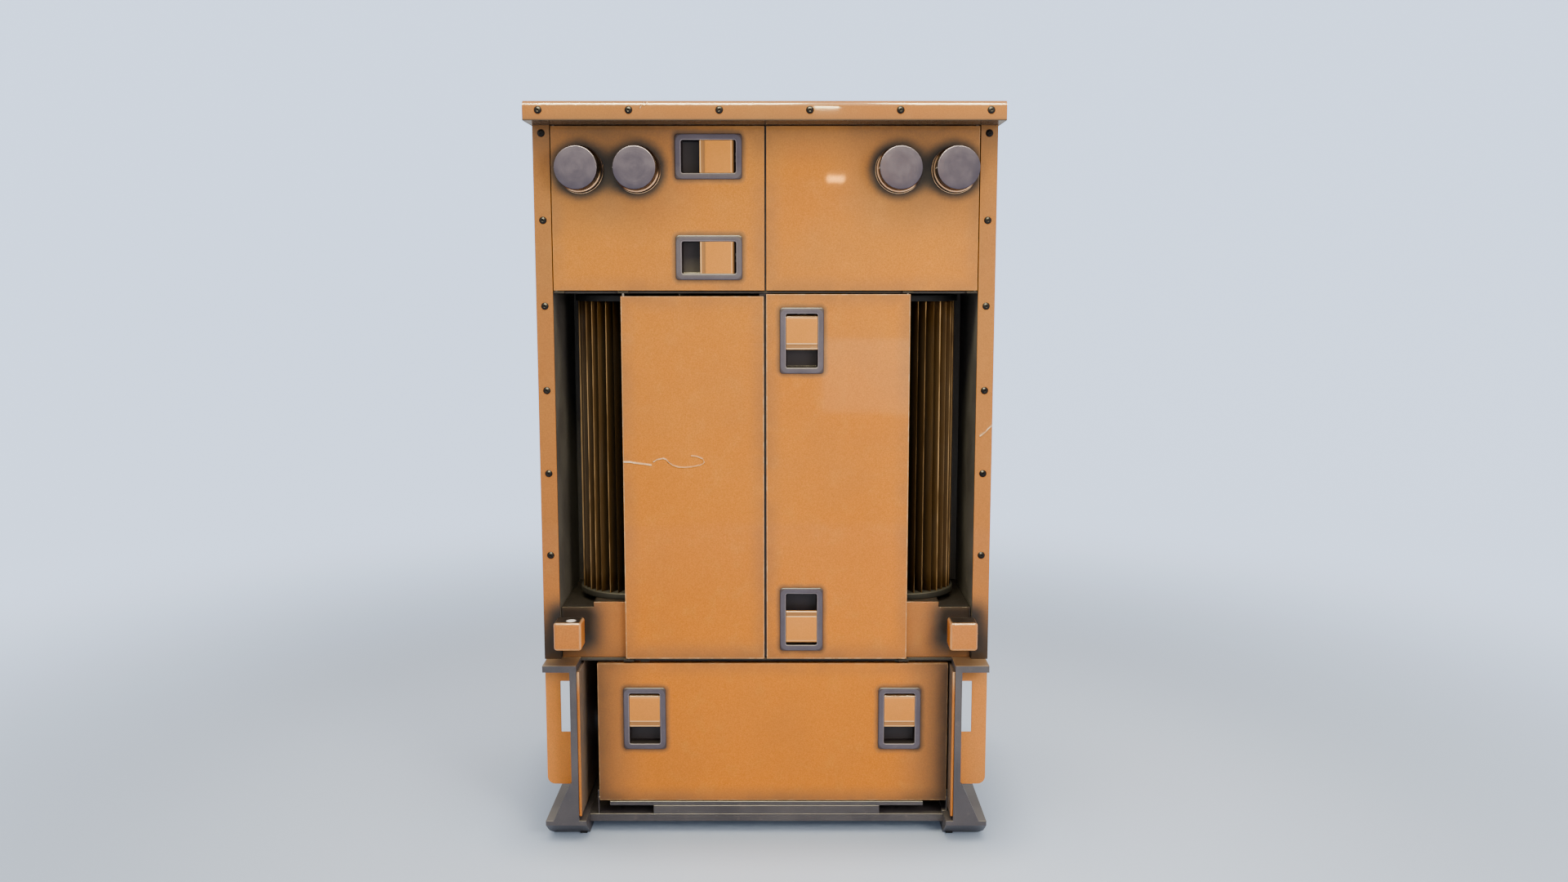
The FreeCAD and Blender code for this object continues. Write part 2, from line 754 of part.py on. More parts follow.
end_caps, cores, rods = [], [], []
for side_name, side in SIDES.items():
    centre = (signed(side, "filter_x"), deep("filter_y"))
    for level, low in (("low", "filter_low_z"), ("high", "filter_high_z - filter_cap_height")):
        disc = rod(f"filter_cap_{side_name}_{level}_disc", "z", "filter_cap_radius", (*centre, low),
                   "filter_cap_height")
        bore = rod(f"filter_cap_{side_name}_{level}_bore", "z", "rod_radius + rod_gap",
                   (*centre, f"{low} - overcut"),
                   "filter_cap_height + 2 * overcut")
        end_caps.append(cut(f"filter_cap_{side_name}_{level}", disc, [bore]))
    between = "filter_high_z - filter_low_z - 2 * filter_cap_height"
    foot = "filter_low_z + filter_cap_height"
    tube = rod(f"core_{side_name}_tube", "z", "filter_core_radius", (*centre, foot), between)
    core_bore = rod(f"core_{side_name}_bore", "z", "filter_core_radius - filter_core_wall",
                    (*centre, f"{foot} - overcut"), f"{between} + 2 * overcut")
    cores.append(cut(f"core_{side_name}", tube, [core_bore]))
    shank = rod(f"tie_rod_{side_name}", "z", "rod_radius", (*centre, "filter_low_z"),
                "shelf_low_z - filter_low_z")
    nut = rod(f"tie_nut_{side_name}", "z", "rod_nut_radius",
              (*centre, "filter_low_z - sill_gauge - rod_nut_height"),
              "rod_nut_height")
    neck = rod(f"tie_neck_{side_name}", "z", "rod_radius", (*centre, "filter_low_z - sill_gauge"),
               "sill_gauge")
    rods.append(fuse(f"tie_{side_name}", [shank, nut, neck]))
node("filter_end_caps", group("end_caps", end_caps))
node("filter_cores", group("filter_core_pair", cores))
node("filter_tie_rods", group("tie_rod_pair", rods))

# ---------------------------------------------------------------- buffers
buffers = []
for side_name, side in SIDES.items():
    cube = block(
        f"buffer_cube_{side_name}", mirrored(side, "buffer_inner_x", "buffer_outer_x"),
        (deep("buffer_front_y"), deep("buffer_back_y")), ("buffer_low_z", "buffer_high_z"),
    )
    rounded = fillet(f"buffer_rounded_{side_name}", cube, "buffer_round", lambda edge: True)
    middle_x = signed(side, "(buffer_inner_x + buffer_outer_x) / 2")
    middle_z = "(buffer_low_z + buffer_high_z) / 2"
    stem = rod(f"buffer_stem_{side_name}", "y", "buffer_stem_radius",
               (middle_x, deep("buffer_back_y - overcut"), middle_z),
               "sill_setback - buffer_back_y + overcut")
    start = "buffer_outer_x - overcut" if side > 0 else "-(buffer_outer_x + buffer_pin_proud)"
    pin = rod(f"buffer_pin_{side_name}", "x", "buffer_pin_radius",
              (start, deep("(buffer_front_y + buffer_back_y) / 2"), middle_z), "buffer_pin_proud + overcut")
    buffers.append(fuse(f"buffer_{side_name}", [rounded, stem, pin]))
node("corner_buffers", group("buffer_pair", buffers))


# ---------------------------------------------------------------- latches
def turned(thing, latch):
    """Moves a latch piece from the latch's own frame to its place in a door."""
    x, z, _, angle = LATCHES[latch]
    thing.Placement = Placement(Vector(), Rotation(Vector(0, 1, 0), angle))
    for letter, place in zip("xyz", (x, "front_y", z)):
        thing.setExpression(f"Placement.Base.{letter}", bound(place))
    return thing


def latch_pan(latch):
    """Bezel and tub, with the bolt's slot, the pivot's holes and two thumb notches."""
    rim = fillet(
        f"bezel_{latch}",
        block(f"bezel_blank_{latch}", ("-bezel_length / 2", "bezel_length / 2"), ("-bezel_proud", "0"),
              ("-bezel_width / 2", "bezel_width / 2")),
        "bezel_radius", along(Vector(0, 1, 0)),
    )
    tub = block(
        f"tub_{latch}", ("-(bezel_length / 2 - bezel_rim + pan_wall)",
                         "bezel_length / 2 - bezel_rim + pan_wall"),
        ("0", "pan_depth"), ("-(bezel_width / 2 - bezel_rim + pan_wall)",
                             "bezel_width / 2 - bezel_rim + pan_wall"),
    )
    well = block(
        f"well_{latch}", ("-(bezel_length / 2 - bezel_rim)", "bezel_length / 2 - bezel_rim"),
        ("-bezel_proud - overcut", "pan_depth - pan_wall"),
        ("-(bezel_width / 2 - bezel_rim)", "bezel_width / 2 - bezel_rim"),
    )
    notches = block(
        f"notches_{latch}", ("paddle_free_end - notch_length", "paddle_free_end"),
        ("-bezel_proud - overcut", "-overcut"),
        ("-(bezel_width / 2 - bezel_rim + notch_depth)", "bezel_width / 2 - bezel_rim + notch_depth"),
    )
    slot = block(
        f"bolt_slot_{latch}", ("bezel_length / 2 - bezel_rim - overcut",
                               "bezel_length / 2 - bezel_rim + pan_wall + overcut"),
        ("bolt_front - bolt_slot_gap", "bolt_front + bolt_gauge + bolt_slot_gap"),
        ("-(bolt_half_width + bolt_slot_gap)", "bolt_half_width + bolt_slot_gap"),
    )
    holes = rod(f"pivot_holes_{latch}", "z", "pivot_radius",
                ("pivot_along", "pivot_behind", "-bezel_width / 2"),
                "bezel_width")
    return turned(cut(f"pan_{latch}", fuse(f"pan_blank_{latch}", [rim, tub]), [well, notches, slot, holes]),
                  latch)


def latch_paddle(latch):
    """Finger plate with a turned-in lip, two barrels on the pin and a tail that draws the bolt."""
    plate = block(
        f"paddle_plate_{latch}", ("paddle_free_end", "paddle_pivot_end"),
        ("-paddle_proud", "paddle_gauge - paddle_proud"), ("-paddle_half_width", "paddle_half_width"),
    )
    lip = block(
        f"paddle_lip_{latch}", ("paddle_free_end", "paddle_free_end + paddle_gauge"),
        ("-paddle_proud", "paddle_lip"),
        ("-paddle_half_width", "paddle_half_width"),
    )
    pieces = [plate, lip]
    spans = (("a", "barrel_inner", "barrel_outer"), ("b", "-barrel_outer", "-barrel_inner"),
             ("c", "-tail_half_width", "tail_half_width"))
    for letter, low, high in spans:
        pieces.append(rod(f"paddle_barrel_{letter}_{latch}", "z", "barrel_radius",
                          ("pivot_along", "pivot_behind", low), f"({high}) - ({low})"))
        pieces.append(block(
            f"paddle_rib_{letter}_{latch}",
            ("pivot_along - tail_half_gauge", "pivot_along + tail_half_gauge"),
            ("0", "pivot_behind"), (low, high),
        ))
    pieces.append(block(
        f"paddle_tail_{latch}", ("pivot_along - tail_half_gauge", "pivot_along + tail_half_gauge"),
        ("pivot_behind", "tail_reach"), ("-tail_half_width", "tail_half_width"),
    ))
    bore = rod(f"paddle_bore_{latch}", "z", "pivot_radius + pin_clearance",
               ("pivot_along", "pivot_behind", "-bezel_width / 2"), "bezel_width")
    return turned(cut(f"paddle_{latch}", fuse(f"paddle_blank_{latch}", pieces), [bore]), latch)


def latch_bolt(latch):
    """A flat bar with a window for the paddle's tail and a nose that points at the strike."""
    end = LATCHES[latch][2]
    bar = block(
        f"bolt_bar_{latch}", ("bolt_near", end), ("bolt_front", "bolt_front + bolt_gauge"),
        ("-bolt_half_width", "bolt_half_width"),
    )
    window = block(
        f"bolt_window_{latch}", ("pivot_along - bolt_window_half", "pivot_along + bolt_window_half"),
        ("bolt_front - overcut", "bolt_front + bolt_gauge + overcut"),
        ("-bolt_window_half_width", "bolt_window_half_width"),
    )
    return turned(cut(f"bolt_{latch}", bar, [window]), latch)


def latch_pin(latch):
    """The paddle's pivot, held in both walls of the pan."""
    pin = rod(f"pivot_{latch}", "z", "pivot_radius",
              ("pivot_along", "pivot_behind", "-(bezel_width / 2 - bezel_rim + pan_wall)"),
              "2 * (bezel_width / 2 - bezel_rim + pan_wall)")
    return turned(group(f"pivot_placed_{latch}", [pin]), latch)


def latch_spring(latch):
    """A torsion spring beside the tail: turns on the pin, a spine, and one leg to the tub's floor."""
    turns = []
    for i in range(SPRING_TURNS):
        ring = doc.addObject("Part::Torus", f"spring_{latch}_{i}")
        ring.setExpression("Radius1", bound("spring_coil_radius"))
        ring.setExpression("Radius2", bound("spring_wire_radius"))
        ring.setExpression("Placement.Base.x", bound("pivot_along"))
        ring.setExpression("Placement.Base.y", bound("pivot_behind"))
        ring.setExpression("Placement.Base.z", bound(f"spring_start + {i} * spring_pitch"))
        turns.append(ring)
    side_of_coil = "pivot_along + spring_coil_radius"
    spine = rod(f"spring_spine_{latch}", "z", "spring_leg_radius",
                (side_of_coil, "pivot_behind", "spring_start"),
                f"{SPRING_TURNS - 1} * spring_pitch")
    leg = rod(f"spring_leg_{latch}", "y", "spring_leg_radius",
              (side_of_coil, "pivot_behind", f"spring_start + {SPRING_TURNS - 1} * spring_pitch"),
              "bolt_front - pivot_behind - overcut")
    return turned(fuse(f"spring_{latch}", [*turns, spine, leg]), latch)


DOOR_LATCHES = {
    "upper_left": ("upper_high", "upper_low"),
    "mid_right": ("mid_high", "mid_low"),
    "lower": ("lower_left", "lower_right"),
}
for door_name, latches in DOOR_LATCHES.items():
    node(f"latch_pans_{door_name}", group(f"pans_{door_name}", [latch_pan(latch) for latch in latches]))
    node(f"latch_pins_{door_name}",
         group(f"latch_pins_of_{door_name}", [latch_pin(latch) for latch in latches]))
    node(f"latch_springs_{door_name}",
         group(f"springs_{door_name}", [latch_spring(latch) for latch in latches]))
for latch in LATCHES:
    node(f"latch_paddle_{latch}", latch_paddle(latch))
    node(f"latch_bolt_{latch}", latch_bolt(latch))


# ---------------------------------------------------------------- doors
def hole_for(latch):
    """The rectangular hole in a door skin that a latch's tub drops into."""
    half_length = "(bezel_length / 2 - bezel_rim + pan_wall + pan_gap)"
    half_width = "(bezel_width / 2 - bezel_rim + pan_wall + pan_gap)"
    blank = block(f"hole_blank_{latch}", (f"-{half_length}", half_length),
                  ("-overcut", "door_skin + overcut"),
                  (f"-{half_width}", half_width))
    return turned(group(f"hole_{latch}", [blank]), latch)


def door(name, x, z, latches=(), ports=()):
    """A folded pan: skin in front, flanges round it, holes for latches and port tubes."""
    blank = block(f"{name}_blank", x, (deep("0"), deep("door_flange")), z)
    inside = block(
        f"{name}_inside", (f"{x[0]} + door_skin", f"{x[1]} - door_skin"),
        (deep("door_skin"), deep("door_flange + overcut")), (f"{z[0]} + door_skin", f"{z[1]} - door_skin"),
    )
    holes = [inside]
    holes += [hole_for(latch) for latch in latches]
    for port in ports:
        holes.append(rod(f"{name}_port_hole_{port}", "y", "port_tube_radius",
                         (PORTS[port], deep("-overcut"), "port_z"), "door_skin + 2 * overcut"))
    return cut(f"{name}_pan", blank, holes)


def side_hinged(name, side, outer, inner_edge, z, latches=(), ports=(), catch=False):
    """A door that turns on two short upright pins near its outer edge."""
    low_x, high_x = (outer, inner_edge) if side < 0 else (inner_edge, outer)
    pan = door(name, (low_x, high_x), z, latches, ports)
    axis_x = f"{outer} + hinge_inset" if side < 0 else f"{outer} - hinge_inset"
    additions, bores = [pan], []
    block_x = (outer, f"{outer} + hinge_block_reach") if side < 0 else (f"{outer} - hinge_block_reach",
        outer)
    for level, low in (("low", z[0]), ("high", f"{z[1]} - hinge_block")):
        additions.append(block(
            f"{name}_block_{level}", block_x, (deep("door_skin"), deep("door_flange - overcut")),
            (low, f"{low} + hinge_block"),
        ))
        bores.append(rod(f"{name}_bore_{level}", "z", "pin_radius + pin_clearance",
                         (axis_x, deep("hinge_setback"), f"{low} - overcut"), "hinge_block + 2 * overcut"))
    if catch:
        span = ("catch_inner_x + armature_inset", "catch_outer_x - armature_inset")
        for level, middle in (("low", f"{z[0]} + catch_end_gap"), ("high", f"{z[1]} - catch_end_gap")):
            additions.append(block(
                f"{name}_armature_{level}", mirrored(side, *span), (deep("door_skin"), deep("door_flange")),
                (f"{middle} - armature_half_z", f"{middle} + armature_half_z"),
            ))
    return node(name, cut(f"{name}_bored", fuse(f"{name}_body", additions), bores))


side_hinged("door_upper_left", -1, "-upper_outer_x", "-upper_seam_half", ("upper_low_z", "upper_high_z"),
            latches=DOOR_LATCHES["upper_left"], ports=("outer_left", "inner_left"))
side_hinged("door_upper_right", 1, "upper_outer_x", "upper_seam_half", ("upper_low_z", "upper_high_z"),
            ports=("inner_right", "outer_right"), catch=True)
side_hinged("door_mid_left", -1, "-mid_outer_x", "mid_left_edge_x", ("mid_low_z", "mid_left_high_z"),
            catch=True)
side_hinged("door_mid_right", 1, "mid_outer_x", "mid_right_edge_x", ("mid_low_z", "mid_right_high_z"),
            latches=DOOR_LATCHES["mid_right"])

# The lower door drops forward on two level pins near its bottom edge.
lower_pan = door("door_lower", ("lower_left_x", "lower_right_x"), ("lower_low_z", "lower_high_z"),
                 latches=DOOR_LATCHES["lower"])
lower_axis_z = "lower_low_z + hinge_inset"
lower_parts, lower_bores = [lower_pan], []
for edge, low in (("left", "lower_left_x"), ("right", "lower_right_x - hinge_block")):
    lower_parts.append(block(
        f"door_lower_block_{edge}", (low, f"{low} + hinge_block"),
        (deep("door_skin"), deep("door_flange - overcut")),
        ("lower_low_z", "lower_low_z + hinge_block_reach"),
    ))
    lower_bores.append(rod(f"door_lower_bore_{edge}", "x", "pin_radius + pin_clearance",
                           (f"{low} - overcut", deep("hinge_setback"), lower_axis_z),
                           "hinge_block + 2 * overcut"))
node("door_lower", cut("door_lower_bored", fuse("door_lower_body", lower_parts), lower_bores))

# ---------------------------------------------------------------- hinge pins and catches
pin_list = []
for name, x, low in (
    ("upper_left_low", "-upper_outer_x + hinge_inset", "shelf_high_z"),
    ("upper_right_low", "upper_outer_x - hinge_inset", "shelf_high_z"),
    ("mid_left_low", "-mid_outer_x + hinge_inset", "floor_high_z"),
    ("mid_right_low", "mid_outer_x - hinge_inset", "floor_high_z"),
):
    pin_list.append(rod(f"pin_{name}", "z", "pin_radius", (x, deep("hinge_setback"), low), "pin_reach"))
for name, x, high in (
    ("upper_left_high", "-upper_outer_x + hinge_inset", "roof_low_z"),
    ("upper_right_high", "upper_outer_x - hinge_inset", "roof_low_z"),
    ("mid_left_high", "-mid_outer_x + hinge_inset", "shelf_low_z"),
    ("mid_right_high", "mid_outer_x - hinge_inset", "shelf_low_z"),
):
    reach = "pin_reach + long_pin_extra" if name == "mid_left_high" else "pin_reach"
    pin_list.append(rod(f"pin_{name}", "z", "pin_radius", (x, deep("hinge_setback"), f"{high} - ({reach})"),
                        reach))
for edge, start in (("left", "lower_left_x - lug_gap"), ("right", "lower_right_x + lug_gap - pin_reach")):
    pin_list.append(rod(f"pin_lower_{edge}", "x", "pin_radius", (start, deep("hinge_setback"), lower_axis_z),
                        "pin_reach"))
node("hinge_pins", group("pins", pin_list))

catch_list = []
for name, side, low, high in (
    ("upper", 1, "upper_low_z", "upper_high_z"), ("mid", -1, "mid_low_z", "mid_left_high_z"),
):
    for level, middle in (("low", f"{low} + catch_end_gap"), ("high", f"{high} - catch_end_gap")):
        catch_list.append(block(
            f"catch_{name}_{level}", mirrored(side, "post_half_x", "catch_outer_x"),
            (deep("catch_front_y"), deep("post_front_y + post_depth")),
            (f"{middle} - catch_half_z", f"{middle} + catch_half_z"),
        ))
node("magnet_catches", group("catches", catch_list))


# ---------------------------------------------------------------- ports
def port_spigot(port):
    """Thin flange against the door, shoulder, tube through the door and a lock ring behind its skin."""
    x = PORTS[port]
    tube = rod(f"port_tube_{port}", "y", "port_tube_radius", (x, deep("-port_tube_proud"), "port_z"),
               "port_tube_proud + port_tube_behind")
    flange = rod(f"port_flange_{port}", "y", "port_flange_radius", (x, deep("-port_flange_proud"), "port_z"),
                 "port_flange_proud")
    shoulder = rod(f"port_shoulder_{port}", "y", "port_shoulder_radius",
                   (x, deep("-port_shoulder_proud"), "port_z"), "port_shoulder_proud")
    ring = rod(f"port_ring_{port}", "y", "port_nut_radius", (x, deep("door_skin"), "port_z"),
               "port_nut_behind - door_skin")
    bore = rod(f"port_bore_{port}", "y", "port_bore_radius",
               (x, deep("-port_tube_proud - overcut"), "port_z"),
               "port_tube_proud + port_tube_behind + 2 * overcut")
    return cut(f"spigot_{port}", fuse(f"spigot_blank_{port}", [tube, flange, shoulder, ring]), [bore])


def port_cap(port):
    """A cup over the tube: collar, cone and a straight barrel with a rounded edge round its flat face."""
    x = PORTS[port]
    collar = rod(f"cap_collar_{port}", "y", "cap_collar_radius", (x, deep("-cap_collar_end"), "port_z"),
                 "cap_collar_end - cap_collar_start")
    cone = doc.addObject("Part::Cone", f"cap_cone_{port}")
    cone.Placement = Placement(Vector(), Rotation(Vector(1, 0, 0), 90))
    cone.setExpression("Radius1", bound("cap_collar_radius"))
    cone.setExpression("Radius2", bound("cap_barrel_radius"))
    cone.setExpression("Height", bound("cap_barrel_start - cap_collar_end"))
    for letter, place in zip("xyz", (x, deep("-cap_collar_end"), "port_z")):
        cone.setExpression(f"Placement.Base.{letter}", bound(place))
    barrel = rod(f"cap_barrel_{port}", "y", "cap_barrel_radius", (x, deep("-cap_front"), "port_z"),
                 "cap_front - cap_barrel_start")
    rounded = fillet(f"cap_rounded_{port}", barrel, "cap_edge_round",
                     lambda edge: edge.BoundBox.YMax < read(deep("-(cap_front - cap_edge_round)")))
    hollow = rod(f"cap_hollow_{port}", "y", "port_tube_radius + cap_bore_gap",
                 (x, deep("-(cap_front - cap_roof)"), "port_z"), "cap_front")
    return cut(f"cap_{port}", fuse(f"cap_blank_{port}", [collar, cone, rounded]), [hollow])


node("port_spigots_left",
     group("spigots_left", [port_spigot(port) for port in ("outer_left", "inner_left")]))
node("port_spigots_right",
     group("spigots_right", [port_spigot(port) for port in ("inner_right", "outer_right")]))
for port in PORTS:
    node(f"port_cap_{port}", port_cap(port))

# ---------------------------------------------------------------- checks and export
doc.recompute()
for thing in doc.Objects:
    if {"Invalid", "Error"} & set(thing.State):
        raise RuntimeError(f"{thing.Name}: {thing.State}")
for thing in nodes:
    if thing.Shape.isNull() or not thing.Shape.isValid() or not thing.Shape.Solids:
        raise RuntimeError(f"{thing.Label} has no valid shape")
os.makedirs("parts", exist_ok=True)
for thing in nodes:
    thing.Shape.exportStep(f"parts/{thing.Label}.step")
print(len(nodes), "nodes", sum(len(thing.Shape.Solids) for thing in nodes), "solids")
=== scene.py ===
"""Looks of the orange street cabinet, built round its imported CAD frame. Metres, front towards -Y."""
import itertools
import json
import math

import bmesh
import bpy
from mathutils import Euler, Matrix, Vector


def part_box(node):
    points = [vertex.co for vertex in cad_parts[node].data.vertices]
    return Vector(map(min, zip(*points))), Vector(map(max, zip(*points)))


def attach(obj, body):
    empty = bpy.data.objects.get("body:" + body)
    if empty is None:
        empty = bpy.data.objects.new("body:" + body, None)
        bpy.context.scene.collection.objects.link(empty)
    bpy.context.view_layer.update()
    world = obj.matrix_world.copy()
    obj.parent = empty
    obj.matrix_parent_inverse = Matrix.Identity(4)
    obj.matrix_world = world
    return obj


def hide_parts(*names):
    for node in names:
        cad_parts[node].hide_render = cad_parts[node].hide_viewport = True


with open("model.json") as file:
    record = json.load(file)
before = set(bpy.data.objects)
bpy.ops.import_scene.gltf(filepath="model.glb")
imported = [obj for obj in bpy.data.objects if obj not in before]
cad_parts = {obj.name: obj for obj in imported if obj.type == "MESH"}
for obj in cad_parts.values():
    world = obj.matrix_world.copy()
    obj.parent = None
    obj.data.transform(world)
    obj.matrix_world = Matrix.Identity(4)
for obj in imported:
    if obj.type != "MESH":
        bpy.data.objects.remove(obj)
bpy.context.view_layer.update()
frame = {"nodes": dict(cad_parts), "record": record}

MM = 0.001
RECORD = frame["record"]
BODY = {node: body for body, nodes in RECORD["behaviour"]["bodies"].items() for node in nodes}
SLOT = {part["node"]: part["material_slot"] for part in RECORD["subparts"]}


# ------------------------------------------------------------------ places taken from the frame
def islands(node):
    """The boxes (low, high) of a CAD node's separate solids, from left to right, then from the top down."""
    mesh = bmesh.new()
    mesh.from_mesh(frame["nodes"][node].data)
    bmesh.ops.remove_doubles(mesh, verts=mesh.verts, dist=2e-6)
    seen, boxes = set(), []
    for seed in mesh.verts:
        if seed in seen:
            continue
        stack, members = [seed], []
        seen.add(seed)
        while stack:
            vert = stack.pop()
            members.append(vert.co.copy())
            for edge in vert.link_edges:
                other = edge.other_vert(vert)
                if other not in seen:
                    seen.add(other)
                    stack.append(other)
        boxes.append((Vector(map(min, zip(*members))), Vector(map(max, zip(*members)))))
    mesh.free()
    return sorted(boxes, key=lambda box: (round(box[0].x, 3), -round(box[0].z, 3)))


def middle(box):
    return (box[0] + box[1]) / 2


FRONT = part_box("door_upper_left")[0].y
PORTS = {port: middle(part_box(f"port_cap_{port}"))
         for port in ("outer_left", "inner_left", "inner_right", "outer_right")}
PAN_NODE = {"upper_high": "upper_left", "upper_low": "upper_left", "mid_high": "mid_right",
            "mid_low": "mid_right", "lower_left": "lower", "lower_right": "lower"}
# Turn of each latch about Y, in degrees: 0 throws its bolt towards +X, -90 upwards and 90 downwards.
LATCH_TURN = {"upper_high": 0, "upper_low": 0, "mid_high": -90, "mid_low": 90, "lower_left": -90,
              "lower_right": -90}
PADDLE_REACH = 16.5 * MM
BEZEL_HALF = (61.5 * MM, 41 * MM)
PAN_HALF = (50.3 * MM, 29.8 * MM)
BUFFER_DEPTH = 48 * MM
PLEAT_DEPTH = 30 * MM
MEDIA_GAUGE = 0.8 * MM
# Of a port, in millimetres: radii, and how far its cap and the ledge round the cap stand out of the door.
CAP_RADIUS = 38.6
SHOULDER_RADIUS = 41.5
FLANGE_RADIUS = 43.3
CAP_STAND = 53.0
LEDGE_STAND = 18.5


def latch_middle(latch):
    """A latch's centre, from the free end of its paddle."""
    low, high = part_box(f"latch_paddle_{latch}")
    turn = LATCH_TURN[latch]
    if turn == 0:
        return Vector((low.x + PADDLE_REACH, FRONT, (low.z + high.z) / 2))
    if turn < 0:
        return Vector(((low.x + high.x) / 2, FRONT, low.z + PADDLE_REACH))
    return Vector(((low.x + high.x) / 2, FRONT, high.z - PADDLE_REACH))


LATCHES = {latch: latch_middle(latch) for latch in LATCH_TURN}
BUFFERS = islands("corner_buffers")
FILTERS = islands("filter_media")
SCREWS = islands("dome_screws")


# ------------------------------------------------------------------ materials
def rgb(r, g, b):
    return (r, g, b, 1.0)


ORANGE = rgb(0.63, 0.172, 0.0)
ORANGE_TOP_SHEEN = rgb(0.57, 0.192, 0.010)
ORANGE_RED = rgb(0.57, 0.158, 0.0)
ORANGE_PALE = rgb(0.66, 0.225, 0.014)
ORANGE_WEAR_AND_HIGHLIGHT = rgb(0.74, 0.46, 0.22)
SCRATCHED = rgb(0.94, 0.66, 0.36)
DUST_AND_SHADE_BROWN = rgb(0.150, 0.118, 0.070)
GRIME_AND_SHADE_BLACK = rgb(0.016, 0.013, 0.012)
GAP_SHADE_BROWN = rgb(0.10, 0.045, 0.018)
GREY_DUST = rgb(0.16, 0.13, 0.11)
CAP_VIOLET, CAP_VIOLET_LIGHT = rgb(0.067, 0.063, 0.093), rgb(0.075, 0.070, 0.102)
BARREL, BARREL_BROWN = rgb(0.020, 0.016, 0.018), rgb(0.050, 0.036, 0.030)
CAP_RIM = rgb(0.050, 0.040, 0.052)
LEDGE_REFLECTION_ORANGE = rgb(0.80, 0.52, 0.29)
CASTING, CASTING_LIGHT = rgb(0.063, 0.053, 0.070), rgb(0.084, 0.072, 0.092)
CASTING_DUST, CASTING_EDGE_HIGHLIGHT = rgb(0.14, 0.115, 0.115), rgb(0.34, 0.29, 0.29)
CASTING_OUTLINE = rgb(0.045, 0.030, 0.028)
RECESS, RECESS_WALL_SHADE = rgb(0.042, 0.037, 0.045), rgb(0.016, 0.012, 0.013)
PADDLE_TINT, PADDLE_HIGHLIGHT = rgb(0.66, 0.255, 0.035), rgb(0.88, 0.50, 0.20)
PADDLE_BACK_SHADE = rgb(0.03, 0.014, 0.006)
PLEAT_VALLEY_SHADE, PLEAT = rgb(0.009, 0.0045, 0.001), rgb(0.050, 0.023, 0.004)
PLEAT_STREAK, PLEAT_TIP_HIGHLIGHT = rgb(0.040, 0.026, 0.014), rgb(0.40, 0.24, 0.10)
PLATE_SHADE_BROWN, PLATE_SHADE_PALE = rgb(0.130, 0.096, 0.076), rgb(0.180, 0.120, 0.080)
BRACKET, BRACKET_LIGHT = rgb(0.042, 0.036, 0.042), rgb(0.064, 0.056, 0.063)
BRACKET_TOP_REFLECTION = rgb(0.27, 0.150, 0.060)
SHELF, SHELF_LIGHT = rgb(0.046, 0.041, 0.037), rgb(0.074, 0.066, 0.058)
PAINTED_GLINT_WHITE, GLINT = rgb(1.0, 0.97, 0.90), rgb(1.0, 0.95, 0.85)


